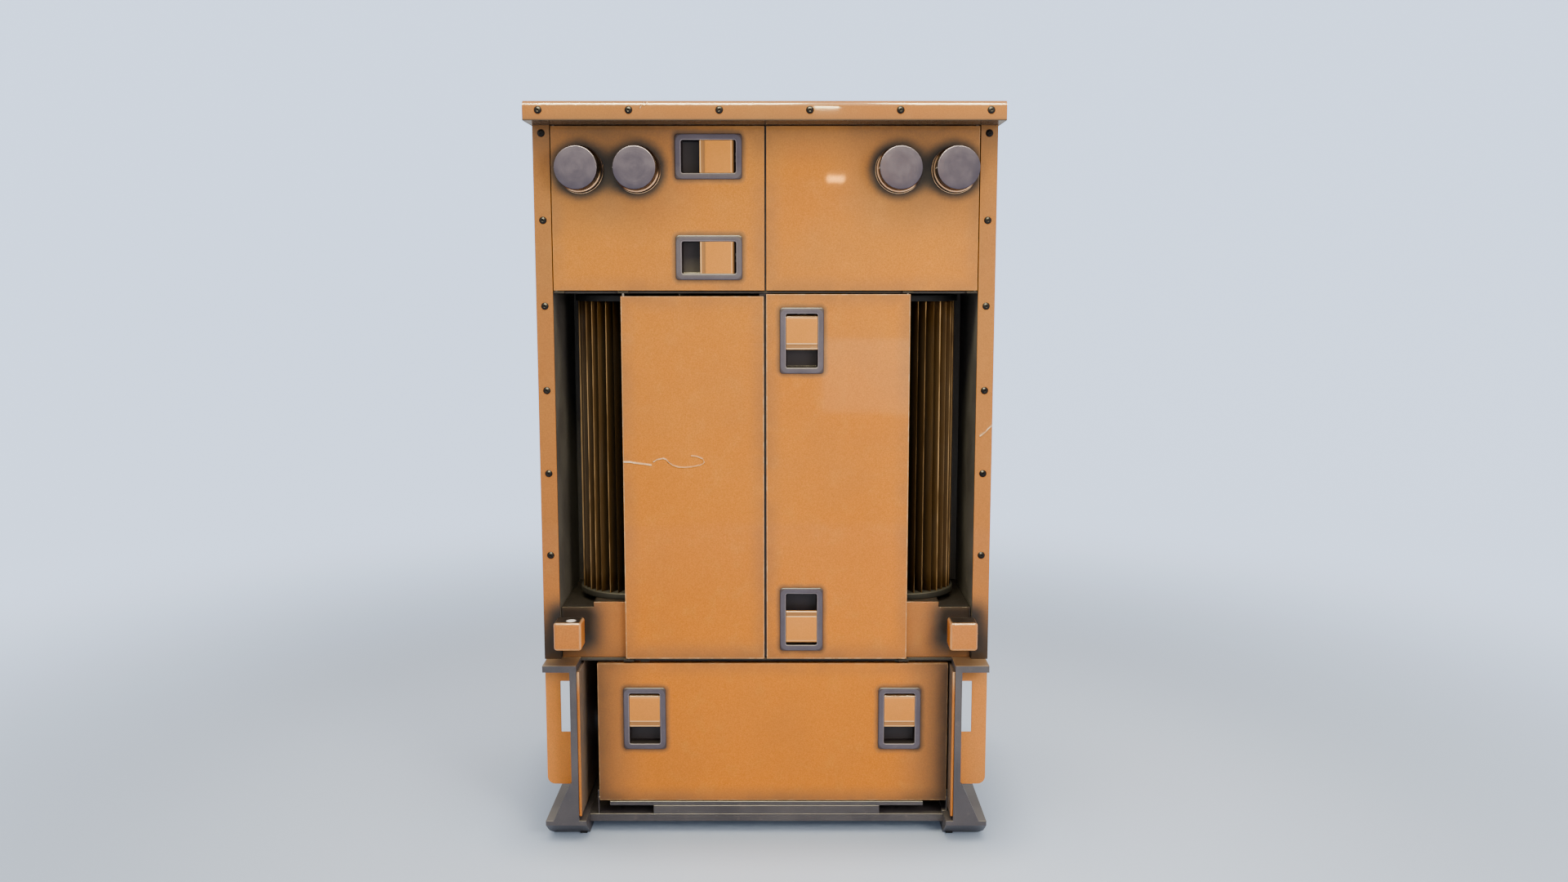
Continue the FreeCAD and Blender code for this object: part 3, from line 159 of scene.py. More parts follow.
class Graph:
    """One material's nodes. Each call adds a node and gives back its output socket."""

    def __init__(self, name):
        self.material = bpy.data.materials.new(name)
        self.material.use_nodes = True
        self.tree = self.material.node_tree
        self.tree.nodes.clear()
        self.place = self.add("TexCoord").outputs["Object"]

    def add(self, kind, inputs=None, **settings):
        node = self.tree.nodes.new("ShaderNode" + kind)
        for key, value in settings.items():
            setattr(node, key, value)
        for key, value in (inputs or {}).items():
            self.feed(node.inputs[key], value)
        return node

    def feed(self, socket, value):
        if isinstance(value, bpy.types.NodeSocket):
            self.tree.links.new(value, socket)
        else:
            socket.default_value = value

    def math(self, operation, a, b=0.0, clamp=False):
        return self.add("Math", {0: a, 1: b}, operation=operation, use_clamp=clamp).outputs[0]

    def product(self, first, *others):
        for other in others:
            first = self.math("MULTIPLY", first, other)
        return first

    def minus(self, a, b, clamp=False):
        return self.math("SUBTRACT", a, b, clamp)

    def vector(self, operation, a, b=(0.0, 0.0, 0.0)):
        node = self.add("VectorMath", {0: a, 1: b}, operation=operation)
        return node.outputs["Value" if operation in ("LENGTH", "DOT_PRODUCT") else "Vector"]

    def scaled(self, vector, factor):
        return self.add("VectorMath", {0: vector, "Scale": factor}, operation="SCALE").outputs[0]

    def noise(self, scale, detail=2.0, roughness=0.5, stretch=None):
        place = self.vector("MULTIPLY", self.place, stretch) if stretch else self.place
        inputs = {"Vector": place, "Scale": scale, "Detail": detail, "Roughness": roughness}
        return self.add("TexNoise", inputs).outputs["Fac"]

    def grain(self):
        """The fine orange peel of powder coat."""
        return self.noise(520.0, 2.0, 0.5)

    def span(self, value, low, high, to_low=0.0, to_high=1.0, smooth=True):
        """to_low where value is at low, to_high where it is at high, and a ramp between."""
        inputs = {0: value, 1: low, 2: high, 3: to_low, 4: to_high}
        kind = "SMOOTHSTEP" if smooth else "LINEAR"
        return self.add("MapRange", inputs, interpolation_type=kind, clamp=True).outputs[0]

    def band(self, value, rise, full, fade, end, strength=1.0):
        """Nought up to rise, strength from full to fade, and nought again from end."""
        return self.product(self.span(value, rise, full), self.span(value, fade, end, strength, 0.0))

    def mix(self, factor, a, b, blend="MIX"):
        return self.add("Mix", {0: factor, 6: a, 7: b}, data_type="RGBA", blend_type=blend).outputs[2]

    def speckled(self, color, fine, low, high, dark, light):
        """The colour, darker where the fine noise is low and lighter where it is high."""
        grey = self.span(fine, low, high, dark, light, smooth=False)
        grey = self.add("CombineColor", {0: grey, 1: grey, 2: grey}).outputs[0]
        return self.mix(1.0, color, grey, "MULTIPLY")

    def axis(self, letter, vector=None):
        return self.add("SeparateXYZ", {0: vector or self.place}).outputs[letter]

    def finish(self, color, roughness, bumps=(), metallic=0.0, specular=0.5, **values):
        """Principled shader. bumps are (height socket, strength, distance in metres)."""
        inputs = {"Base Color": color, "Roughness": roughness, "Metallic": metallic,
                  "Specular IOR Level": specular}
        shader = self.add("BsdfPrincipled", inputs)
        for key, value in values.items():
            self.feed(shader.inputs[key.replace("_", " ").title()], value)
        normal = None
        for height, strength, distance in bumps:
            bump = self.add("Bump", {"Height": height, "Strength": strength, "Distance": distance})
            if normal:
                self.tree.links.new(normal, bump.inputs["Normal"])
            normal = bump.outputs["Normal"]
        if normal:
            self.tree.links.new(normal, shader.inputs["Normal"])
        output = self.add("OutputMaterial")
        self.tree.links.new(shader.outputs[0], output.inputs[0])
        return self.material


class Panel(Graph):
    """Distances over the front plane, for painted shade round fittings, and for dirt, painted shade and
    painted highlights along edges.
    """

    def __init__(self, name):
        super().__init__(name)
        flat = self.vector("MULTIPLY", self.place, (1.0, 0.0, 1.0))
        wander = self.minus(self.noise(38.0, 3.0, 0.6), 0.5)
        shift = self.scaled(self.add("CombineXYZ", {"X": wander, "Z": wander}).outputs[0], 0.006)
        self.flat, self.ragged = flat, self.vector("ADD", flat, shift)

    def round_gap(self, centre, radius):
        """Distance outside a circle."""
        away = self.vector("SUBTRACT", self.ragged, (centre[0], 0.0, centre[2]))
        return self.minus(self.vector("LENGTH", away), radius)

    def box_gap(self, centre, half_x, half_z, corner, ragged=True):
        """Distance outside a rectangle with round corners."""
        start = self.ragged if ragged else self.flat
        away = self.vector("ABSOLUTE", self.vector("SUBTRACT", start, (centre[0], 0.0, centre[2])))
        past = self.vector("SUBTRACT", away, (half_x - corner, 1.0, half_z - corner))
        reach = self.vector("LENGTH", self.vector("MAXIMUM", past))
        return self.minus(reach, corner)

    def edge_depth(self, low, high):
        """Distance in from the nearest edge of the panel that fills the box from low to high."""
        half = ((high.x - low.x) / 2, 0.0, (high.z - low.z) / 2)
        centre = ((high.x + low.x) / 2, 0.0, (high.z + low.z) / 2)
        away = self.vector("ABSOLUTE", self.vector("SUBTRACT", self.flat, centre))
        inside = self.vector("SUBTRACT", half, away)
        return self.math("MINIMUM", self.axis("X", inside), self.axis("Z", inside))

    def line_gap(self, a, b):
        """Distance from the straight line between two points."""
        start, run = Vector((a[0], 0, a[1])), Vector((b[0] - a[0], 0, b[1] - a[1]))
        away = self.vector("SUBTRACT", self.flat, tuple(start))
        along = self.vector("DOT_PRODUCT", away, tuple(run))
        share = self.math("DIVIDE", along, run.length_squared, clamp=True)
        return self.vector("LENGTH", self.vector("SUBTRACT", away, self.scaled(tuple(run), share)))

    def path_gap(self, points):
        """Distance from a bent line."""
        gap = self.line_gap(*points[:2])
        for a, b in zip(points[1:], points[2:]):
            gap = self.math("MINIMUM", gap, self.line_gap(a, b))
        return gap


def darkened(g, color, undarkened):
    """Dulls a colour with dust brown as its third input falls below one, and blackens it as that nears
    nought. Callers use it for dirt and for painted shade.
    """
    darkening = g.minus(1.0, undarkened, clamp=True)
    color = g.mix(g.product(g.math("POWER", darkening, 0.75), 0.85), color, DUST_AND_SHADE_BROWN)
    return g.mix(g.math("POWER", darkening, 1.9), color, GRIME_AND_SHADE_BLACK), darkening


def orange_coat(g):
    """The clouds, blotches and grain of orange powder coat, and a painted sheen that pales it towards the
    top.
    """
    cloud = g.noise(4.0, 3.0, 0.5)
    blotch = g.noise(26.0, 4.0, 0.6)
    # Painted sheen: the orange turns paler and greyer higher up.
    color = g.mix(g.span(g.axis("Z"), 0.25, 1.30), ORANGE, ORANGE_TOP_SHEEN)
    color = g.mix(g.span(cloud, 0.35, 0.68, 0.0, 0.6), color, ORANGE_RED)
    color = g.mix(g.span(blotch, 0.5, 0.78, 0.0, 0.4), color, ORANGE_PALE)
    return g.speckled(color, g.noise(430.0, 3.0, 0.75), 0.25, 0.75, 0.70, 1.24), blotch


def weathered(name, letter, low, high):
    """Orange paint of a side or back sheet, with rain streaks, dusty edges and a chipped rim.

    letter: the axis that the sheet's width runs along. low, high: the sheet's box.
    """
    g = Panel(name)
    color, blotch = orange_coat(g)
    left, right = getattr(low, letter.lower()), getattr(high, letter.lower())
    beside = g.math("ABSOLUTE", g.minus(g.axis(letter), (left + right) / 2))
    beside = g.minus((right - left) / 2, beside)
    height = g.axis("Z")
    above = g.math("MINIMUM", g.minus(high.z, height), g.minus(height, low.z))
    depth = g.math("MINIMUM", beside, above)
    streak = g.span(g.noise(34.0, 4.0, 0.65, stretch=(1.0, 1.0, 0.05)), 0.52, 0.74)
    streak = g.product(streak, g.span(g.noise(3.5, 2.0, 0.5), 0.35, 0.65, 0.05, 0.30))
    dusty = g.span(g.noise(13.0, 4.0, 0.65), 0.35, 0.70, 0.08, 0.42)
    near = g.product(g.span(depth, 0.0, 0.055, 1.0, 0.0), dusty)
    low_dust = g.span(height, low.z, low.z + 0.20, 0.22, 0.0)
    dirt = g.math("ADD", g.math("MAXIMUM", streak, near), low_dust, clamp=True)
    color, darkening = darkened(g, color, g.minus(1.0, dirt))
    worn = g.span(g.noise(70.0, 3.0, 0.7), 0.42, 0.7)
    rim = g.product(g.span(depth, 0.0008, 0.0030, 0.85, 0.0), g.span(worn, 0.0, 1.0, 0.3, 1.0))
    scuff = g.span(g.noise(210.0, 2.0, 0.6, stretch=(1.0, 1.0, 0.35)), 0.70, 0.76, 0.0, 0.75)
    scuff = g.product(scuff, g.span(depth, 0.004, 0.07, 1.0, 0.0))
    color = g.mix(g.math("MAXIMUM", rim, scuff), color, ORANGE_WEAR_AND_HIGHLIGHT)
    heights = [(g.grain(), 0.10, 0.0006), (g.noise(6.0, 1.0, 0.4), 0.08, 0.012)]
    roughness = g.math("ADD", g.span(blotch, 0.3, 0.7, 0.32, 0.42), g.product(darkening, 0.35), clamp=True)
    return g.finish(color, roughness, heights, specular=0.08, coat_weight=0.3, coat_roughness=0.1)


def orange_paint(name, box=None, shade_halos=(), shades=(), scratches=(), worn=0.0, edge_highlight=0.35):
    """Semi-gloss orange powder coat.

    box: the panel's box, for its pale rim, a painted highlight, for painted shade on its edge faces in the
    gaps, and for its edges, darker with dust and painted shade. shade_halos: (maker of a gap, reach,
    strength) of painted shade round fittings.
    shades: (axis, plain at, darkest at, strength) of darkening that grows along an axis, some of it painted
    shade.
    scratches: (points, width, bright share). worn: how pale the whole is. edge_highlight: how pale the
    painted highlight on the rim is.
    """
    g = Panel(name)
    color, blotch = orange_coat(g)
    patches = g.span(g.noise(70.0, 3.0, 0.7), 0.42, 0.7)
    undarkened = g.span(g.noise(7.0, 4.0, 0.6), 0.45, 0.8, 1.0, 0.94)
    outside = g.span(g.axis("Y"), box[0].y + 0.0006, box[0].y + 0.0018, 1.0, 0.0) if box else 1.0
    # Painted shade round fittings, on the front face only.
    for gap, reach, strength in shade_halos:
        painted_shade = g.product(g.span(gap(g), 0.0, reach, strength, 0.0), outside)
        undarkened = g.product(undarkened, g.minus(1.0, painted_shade))
    for letter, start, end, strength in shades:
        ends = (1.0, 1.0 - strength) if start < end else (1.0 - strength, 1.0)
        undarkened = g.product(undarkened, g.span(g.axis(letter), min(start, end), max(start, end), *ends))
    if box:
        depth = g.edge_depth(*box)
        # Darker near the panel's edges: blotchy dust with painted shade.
        dusty = g.span(g.noise(16.0, 3.0, 0.6), 0.35, 0.65, 0.10, 0.26)
        near = g.product(g.span(depth, 0.0, 0.034, 1.0, 0.0), dusty)
        undarkened = g.product(undarkened, g.minus(1.0, near))
    color, darkening = darkened(g, color, undarkened)
    if box:
        # Painted highlight: a pale, patchy rim along the panel's edges.
        rim = g.product(g.span(depth, 0.0006, 0.0018, edge_highlight, 0.0), g.span(patches, 0.0, 1.0, 0.4, 1.0))
        color = g.mix(rim, color, ORANGE_WEAR_AND_HIGHLIGHT)
        # Painted shade on the panel's edge faces, down in the gaps.
        gap_shade = g.span(g.axis("Y"), box[0].y + 0.0012, box[0].y + 0.0026, 0.0, 0.75)
        gap_shade = g.product(gap_shade, g.span(depth, 0.0002, 0.0012, 1.0, 0.0))
        color = g.mix(gap_shade, color, GAP_SHADE_BROWN)
    if worn:
        color = g.mix(worn, color, ORANGE_WEAR_AND_HIGHLIGHT)
    heights = [(g.grain(), 0.10, 0.0006), (g.noise(9.0, 1.0, 0.4), 0.06, 0.008)]
    for points, width, bright in scratches:
        gap = g.path_gap(points)
        heights.append((g.product(g.span(gap, 0.0, width, 1.0, 0.0), outside), 0.7, 0.0030))
        scratch_and_glint = g.product(g.span(gap, width * 0.1, width * 0.5, bright, 0.0), outside,
                         g.span(patches, 0.0, 0.6, 0.4, 1.0))
        color = g.mix(scratch_and_glint, color, SCRATCHED)
    roughness = g.math("ADD", g.span(blotch, 0.3, 0.7, 0.32, 0.40), g.product(darkening, 0.3), clamp=True)
    gloss = g.span(g.axis("Z"), 0.25, 0.95, 0.16, 0.4)
    return g.finish(color, roughness, heights, specular=0.06, coat_weight=gloss, coat_roughness=0.045)


def enamel_coat(g, base, light, spots=None):
    """Clouded dark enamel, with pale worn spots if they have a colour."""
    cloud = g.noise(9.0, 4.0, 0.6)
    color = g.mix(g.span(cloud, 0.3, 0.7), base, light)
    if spots:
        color = g.mix(g.span(g.noise(45.0, 5.0, 0.65), 0.56, 0.8, 0.0, 0.35), color, spots)
    return color, cloud


def enamel(name, base, light, roughness=0.42, dust=GREY_DUST, specular=0.5, grain=600.0):
    """Dark enamel or black oxide, with a fine texture, pale worn spots and some dust."""
    g = Graph(name)
    fine = g.noise(grain, 3.0, 0.6)
    color, cloud = enamel_coat(g, base, light, dust)
    color = g.speckled(color, fine, 0.2, 0.8, 0.86, 1.12)
    rough = g.span(cloud, 0.3, 0.7, roughness - 0.06, roughness + 0.08)
    return g.finish(color, rough, [(fine, 0.14, 0.0004)], specular=specular)


def port_metal(name, centre):
    """A cap or spigot: violet-grey lapped face, near-black barrel, and a painted orange reflection on the
    rims of its ledges.
    """
    g = Graph(name)
    away = g.vector("MULTIPLY", g.vector("SUBTRACT", g.place, tuple(centre)), (1.0, 0.0, 1.0))
    radius = g.vector("LENGTH", away)
    depth = g.minus(g.axis("Y"), centre[1])
    rings = g.add("CombineXYZ", {"X": radius, "Y": depth}).outputs[0]
    lines = g.add("TexNoise", {"Vector": rings, "Scale": 1500.0, "Detail": 3.0}).outputs["Fac"]
    smear = g.noise(48.0, 4.0, 0.6)
    face = g.mix(g.span(smear, 0.35, 0.7), CAP_VIOLET, CAP_VIOLET_LIGHT)
    barrel = g.mix(g.span(smear, 0.35, 0.7), BARREL, BARREL_BROWN)
    face_y, cap_edge = -CAP_STAND * MM, CAP_RADIUS * MM
    color = g.mix(g.span(depth, face_y + 0.0008, face_y + 0.0018), face, barrel)
    rim = g.product(g.span(radius, cap_edge - 0.0014, cap_edge - 0.0004),
                    g.span(depth, face_y, face_y + 0.0014, 0.7, 0.0))
    color = g.mix(rim, color, CAP_RIM)
    shoulder, flange_edge = SHOULDER_RADIUS * MM, FLANGE_RADIUS * MM
    ledge = g.band(radius, cap_edge + 0.0004, cap_edge + 0.0012, shoulder - 0.0002, shoulder + 0.0001)
    ledge = g.product(ledge, g.span(depth, -LEDGE_STAND * MM + 0.0015, -LEDGE_STAND * MM))
    flange = g.span(radius, flange_edge - 0.0009, flange_edge - 0.0003)
    ledge_reflection = g.math("MAXIMUM", ledge, flange, clamp=True)
    # The painted orange reflection on the ledges lies low down, towards the middle of the cabinet: (x, z,
    # least cosine).
    lean = (0.42, -0.91, 0.64) if centre[0] < 0 else (-0.64, -0.77, 0.17)
    shine = g.math("DIVIDE", g.vector("DOT_PRODUCT", away, (lean[0], 0.0, lean[1])), radius)
    ledge_reflection = g.product(ledge_reflection, g.span(shine, lean[2] - 0.18, lean[2] + 0.12, 0.07, 1.0),
                       g.span(smear, 0.25, 0.55, 0.75, 1.0))
    color = g.mix(ledge_reflection, color, LEDGE_REFLECTION_ORANGE)
    rough = g.math("ADD", g.span(smear, 0.3, 0.75, 0.30, 0.34), g.span(lines, 0.3, 0.7, 0.0, 0.04))
    rough = g.math("ADD", rough, g.product(rim, 0.35))
    metal = g.minus(1.0, g.product(g.math("MAXIMUM", ledge_reflection, rim), 0.8))
    return g.finish(color, rough, [(lines, 0.05, 0.0002)], metal, specular=0.3)


def latch_metal(latch):
    """Cast bezel with a painted highlight along its inner edge, and a recess that is painted dark, with
    painted shade darker towards its walls.
    """
    g = Panel(f"casting_{latch}")
    fine = g.noise(900.0, 3.0, 0.6)
    color = g.mix(g.span(g.noise(14.0, 4.0, 0.6), 0.3, 0.7), CASTING, CASTING_LIGHT)
    color = g.mix(g.span(g.noise(60.0, 5.0, 0.65), 0.56, 0.8, 0.0, 0.35), color, CASTING_DUST)
    gap = g.box_gap(LATCHES[latch], *turned(latch, PAN_HALF), 4 * MM, ragged=False)
    # Painted highlight along the bezel's inner edge.
    color = g.mix(g.band(gap, 0.0, 0.0004, 0.0010, 0.0018, 0.42), color, CASTING_EDGE_HIGHLIGHT)
    color = g.mix(g.span(gap, 0.0096, 0.0104, 0.0, 0.8), color, CASTING_OUTLINE)
    # Painted shade in the recess, darker towards its walls.
    recess = g.mix(g.span(gap, -0.012, 0.0), RECESS, RECESS_WALL_SHADE)
    color = g.mix(g.span(g.axis("Y"), FRONT - 0.0022, FRONT + 0.001), color, recess)
    color = g.speckled(color, fine, 0.2, 0.8, 0.86, 1.12)
    return g.finish(color, g.span(fine, 0.2, 0.8, 0.40, 0.52), [(fine, 0.14, 0.0004)], specular=0.25)


def paddle_paint(latch):
    """Orange paddle: painted highlights on its finger lip, along its sides and by its hinge, and painted
    shade in the scoop behind the lip, at its hinge edge and on its back.
    """
    g = Panel(f"paint_paddle_{latch}")
    turn, centre = LATCH_TURN[latch], LATCHES[latch]
    ways = [("X", centre.x), ("Z", centre.z)]
    (letter, place), (other, beside) = ways if turn == 0 else ways[::-1]
    along = g.minus(g.axis(letter), place)
    if turn > 0:
        along = g.product(along, -1.0)
    across = g.math("ABSOLUTE", g.minus(g.axis(other), beside))
    color, blotch = orange_coat(g)
    color = g.mix(0.55, color, PADDLE_TINT)
    # Painted shade in the finger scoop and at the hinge edge.
    scoop = g.band(along, -0.0138, -0.0128, -0.0075, -0.0050, 0.48)
    hinge = g.span(along, 0.0425, 0.0450, 0.0, 0.75)
    color = darkened(g, color, g.minus(1.0, g.math("MAXIMUM", scoop, hinge), clamp=True))[0]
    # Painted highlights: pale lines on the lip, along the sides and by the hinge.
    edge_highlight = g.band(along, -0.0166, -0.0160, -0.0142, -0.0134, 0.9)
    edge_highlight = g.math("MAXIMUM", edge_highlight, g.span(across, 0.0283, 0.0290, 0.0, 0.6))
    edge_highlight = g.math("MAXIMUM", edge_highlight, g.band(along, 0.0405, 0.0412, 0.0420, 0.0428, 0.5))
    if turn:
        edge_highlight = g.math("MAXIMUM", edge_highlight, g.band(along, -0.0068, -0.0060, -0.0048, -0.0040, 0.85))
    color = g.mix(edge_highlight, color, PADDLE_HIGHLIGHT)
    # Painted shade on the paddle's back.
    color = g.mix(g.span(g.axis("Y"), FRONT + 0.0005, FRONT + 0.0025, 0.0, 0.93), color, PADDLE_BACK_SHADE)
    return g.finish(color, g.span(blotch, 0.3, 0.7, 0.30, 0.38), [(g.grain(), 0.06, 0.0006)],
                    specular=0.06, coat_weight=0.4, coat_roughness=0.08)


def paper(name):
    """Brown pleated filter media, with painted highlights on the outer folds and painted shade down in the
    pleats.
    """
    g = Graph(name)
    gaps = []
    for box in FILTERS:
        away = g.vector("SUBTRACT", g.place, tuple(middle(box)))
        gaps.append(g.vector("LENGTH", g.vector("MULTIPLY", away, (1.0, 1.0, 0.0))))
    radius = g.math("MINIMUM", *gaps)
    outer = (FILTERS[0][1].x - FILTERS[0][0].x) / 2
    fibre = g.noise(700.0, 3.0, 0.7, stretch=(1.0, 1.0, 0.08))
    streak = g.noise(60.0, 3.0, 0.6, stretch=(1.0, 1.0, 0.12))
    # Painted shade down in the pleats.
    color = g.mix(g.span(radius, outer - PLEAT_DEPTH, outer - 0.002), PLEAT_VALLEY_SHADE, PLEAT)
    color = g.mix(g.span(streak, 0.4, 0.75, 0.0, 0.6), color, PLEAT_STREAK)
    # Painted highlights on the outer folds.
    tip_highlight = g.product(g.span(radius, outer - 0.0028, outer - 0.0012), g.span(streak, 0.35, 0.6, 0.25, 1.0))
    color = g.mix(tip_highlight, color, PLEAT_TIP_HIGHLIGHT)
    return g.finish(color, g.span(fibre, 0.2, 0.8, 0.42, 0.62), [(fibre, 0.25, 0.0004)], specular=0.12)


def rubber(name, base=rgb(0.012, 0.012, 0.013), roughness=0.55, dust=rgb(0.055, 0.048, 0.042)):
    """Matt black rubber or plastic with patches of dust."""
    g = Graph(name)
    fine = g.noise(1400.0, 2.0, 0.6)
    color = g.mix(g.span(g.noise(30.0, 4.0, 0.65), 0.45, 0.8, 0.0, 0.5), base, dust)
    return g.finish(color, g.span(fine, 0.2, 0.8, roughness - 0.08, roughness + 0.1), [(fine, 0.2, 0.0003)],
                    specular=0.25)


def zinc(name, base, roughness=0.32):
    """Zinc-plated or bright steel with faint spangle."""
    g = Graph(name)
    spangle = g.add("TexVoronoi", {"Vector": g.place, "Scale": 240.0}).outputs["Distance"]
    cloud = g.noise(60.0, 3.0, 0.6)
    color = g.mix(g.span(cloud, 0.3, 0.75), base, rgb(0.12, 0.11, 0.105))
    rough = g.span(cloud, 0.3, 0.7, roughness, roughness + 0.12)
    rough = g.math("ADD", rough, g.span(spangle, 0.0, 0.8, 0.0, 0.08))
    return g.finish(color, rough, [(spangle, 0.05, 0.0003)], metallic=1.0)


def buffer_paint():
    """Orange paint with a painted highlight on its rounded edges and a painted dark reflection on top, and a
    painted glint on the left buffer that glows a little.
    """
    g = Panel("paint_buffers")
    low, high = BUFFERS[1]
    half = (high.z - low.z) / 2
    middle_x, middle_y, middle_z = low.x + half, low.y + BUFFER_DEPTH / 2, (low.z + high.z) / 2
    side = g.math("ABSOLUTE", g.minus(g.math("ABSOLUTE", g.axis("X")), middle_x))
    x = g.minus(half, side)
    y = g.minus(BUFFER_DEPTH / 2, g.math("ABSOLUTE", g.minus(g.axis("Y"), middle_y)))
    z = g.minus(half, g.math("ABSOLUTE", g.minus(g.axis("Z"), middle_z)))
    # The second smallest distance to a face is the distance along the surface to the nearest edge.
    to_edge = g.math("MAXIMUM", g.math("MINIMUM", x, y), g.math("MINIMUM", g.math("MAXIMUM", x, y), z))
    color, blotch = orange_coat(g)
    # Painted dark reflection on the top face.
    top = g.span(g.axis("Z"), high.z - 0.0030, high.z - 0.0012)
    dark_top_reflection = g.product(top, g.span(to_edge, 0.0015, 0.0045), 0.82)
    color = darkened(g, color, g.minus(0.84, dark_top_reflection))[0]
    # Painted highlight on the rounded edges.
    color = g.mix(g.span(to_edge, 0.0012, 0.0055, 0.42, 0.0), color, ORANGE_WEAR_AND_HIGHLIGHT)
    # Painted glint on top of the left buffer: white, and glowing a little.
    glint_spot = (-middle_x + 0.006, low.y + 0.017, high.z)
    away = g.vector("MULTIPLY", g.vector("SUBTRACT", g.place, glint_spot), (1.0, 0.9, 1.0))
    scratch_and_glint = g.span(g.vector("LENGTH", away), 0.006, 0.0105, 1.0, 0.0)
    color = g.mix(scratch_and_glint, color, PAINTED_GLINT_WHITE)
    return g.finish(color, g.span(blotch, 0.3, 0.7, 0.30, 0.38), [(g.grain(), 0.06, 0.0006)],
                    specular=0.1, coat_weight=0.4, coat_roughness=0.1,
                    emission_color=GLINT, emission_strength=g.product(scratch_and_glint, 0.25))


def plate_paint():
    """Orange only on the front edge, paler near the top, and with painted shade in brown behind it."""
    g = Panel("paint_side_plates")
    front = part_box("lower_side_plates")[0].y
    color, blotch = orange_coat(g)
    color = g.mix(g.span(g.axis("Z"), 0.285, 0.335, 0.0, 0.7), color, ORANGE_WEAR_AND_HIGHLIGHT)
    # Painted shade in brown: a little over the front edge, and all of it behind.
    painted_shade = g.mix(g.span(blotch, 0.3, 0.7), PLATE_SHADE_BROWN, PLATE_SHADE_PALE)
    color = g.mix(0.3, color, painted_shade)
    color = g.mix(g.span(g.axis("Y"), front + 0.0004, front + 0.0012), color, painted_shade)
    return g.finish(color, g.span(blotch, 0.3, 0.7, 0.40, 0.55), [(g.grain(), 0.10, 0.0006)], specular=0.1)


def bracket_paint():
    """Dark enamel with a painted orange-brown reflection on top of the flanges."""
    g = Graph("enamel_brackets")
    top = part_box("skid_brackets")[1].z
    fine = g.noise(600.0, 3.0, 0.6)
    color, cloud = enamel_coat(g, BRACKET, BRACKET_LIGHT, GREY_DUST)
    # Painted reflection, orange-brown and patchy, on the tops of the flanges.
    dust = g.product(g.span(g.axis("Z"), top - 0.0009, top - 0.0003), g.span(cloud, 0.3, 0.6, 0.35, 0.8))
    color = g.mix(dust, color, BRACKET_TOP_REFLECTION)
    color = g.mix(g.span(fine, 0.2, 0.8, 0.0, 0.2), color, GRIME_AND_SHADE_BLACK)
    return g.finish(color, g.span(cloud, 0.3, 0.7, 0.36, 0.50), [(fine, 0.14, 0.0004)])


def shelf_paint(node):
    """Dark grey enamel, with painted shade in black along the front edge that shows between the doors."""
    g = Graph(f"enamel_{node}")
    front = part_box(node)[0].y
    fine = g.noise(600.0, 3.0, 0.6)
    color, cloud = enamel_coat(g, SHELF, SHELF_LIGHT)
    # Painted shade: black along the front edge that shows between the doors.
    color = g.mix(g.span(g.axis("Y"), front, front + 0.012, 0.95, 0.0), color, GRIME_AND_SHADE_BLACK)
    color = g.mix(g.span(fine, 0.2, 0.8, 0.0, 0.25), color, GRIME_AND_SHADE_BLACK)
    return g.finish(color, g.span(cloud, 0.3, 0.7, 0.5, 0.62), [(fine, 0.14, 0.0004)], specular=0.15)


# ------------------------------------------------------------------ where dirt, wear, painted shade and painted highlights lie
def turned(latch, half):
    """Half sizes in X and Z of a rectangle on a latch, from those along and across it."""
    return half if LATCH_TURN[latch] == 0 else half[::-1]


def near_latch(latch):
    return (lambda g: g.box_gap(LATCHES[latch], *turned(latch, BEZEL_HALF), 0.007), 0.011, 0.62)


def near_port(port, strength=0.95, reach=0.025):
    return (lambda g: g.round_gap(PORTS[port], 0.041), reach, strength)


def near_buffer(index, strength, reach):
    low, high = BUFFERS[index]
    centre = middle((low, high))
    half = (high.z - low.z) / 2
    inner = low.x + half if index else high.x - half
    return (lambda g: g.box_gap((inner, 0, centre.z), half, half, 0.008), reach, strength)


def round_ports(left, right):
    """Painted shade: black close to two ports and between them, and a wide, fainter halo."""
    centre = (PORTS[left] + PORTS[right]) / 2
    between = (lambda g: g.round_gap(centre, 0.012), 0.045, 0.75)
    return [near_port(left), near_port(right), between, near_port(left, 0.28, 0.105),
            near_port(right, 0.28, 0.105)]


def all_over(strength):
    """A shade on the whole of a piece: nothing here is two metres high."""
    return ("Z", 3.0, 2.0, strength)


DOORS = {name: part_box(name) for name in
         ("door_upper_left", "door_upper_right", "door_mid_left", "door_mid_right", "door_lower")}
left_edge, low_edge = DOORS["door_mid_left"][0].x, DOORS["door_mid_left"][0].z
top_z = DOORS["door_upper_left"][1].z
lower_low, lower_high = DOORS["door_lower"]
strip_low, strip_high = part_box("corner_strips")
sill_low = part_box("bay_sills")[0]
roof_low, roof_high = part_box("roof_cap")
# A gouge in the middle left door, (in from its free edge, up from its lower edge).
GOUGE = [(0.0, 0.3808), (0.012, 0.3808), (0.0253, 0.3783), (0.0385, 0.3768), (0.0529, 0.3748)]
GOUGE_RISE = [(0.0570, 0.3811), (0.0637, 0.3855), (0.0757, 0.3875), (0.0809, 0.3858), (0.0862, 0.380)]
GOUGE_LOOP = [(0.0862, 0.380), (0.094, 0.3741), (0.1046, 0.3707), (0.1152, 0.3701), (0.1284, 0.3713),
              (0.1445, 0.3748), (0.1511, 0.3783), (0.1527, 0.3808), (0.1498, 0.3867), (0.1406, 0.3908),
              (0.1286, 0.3922)]
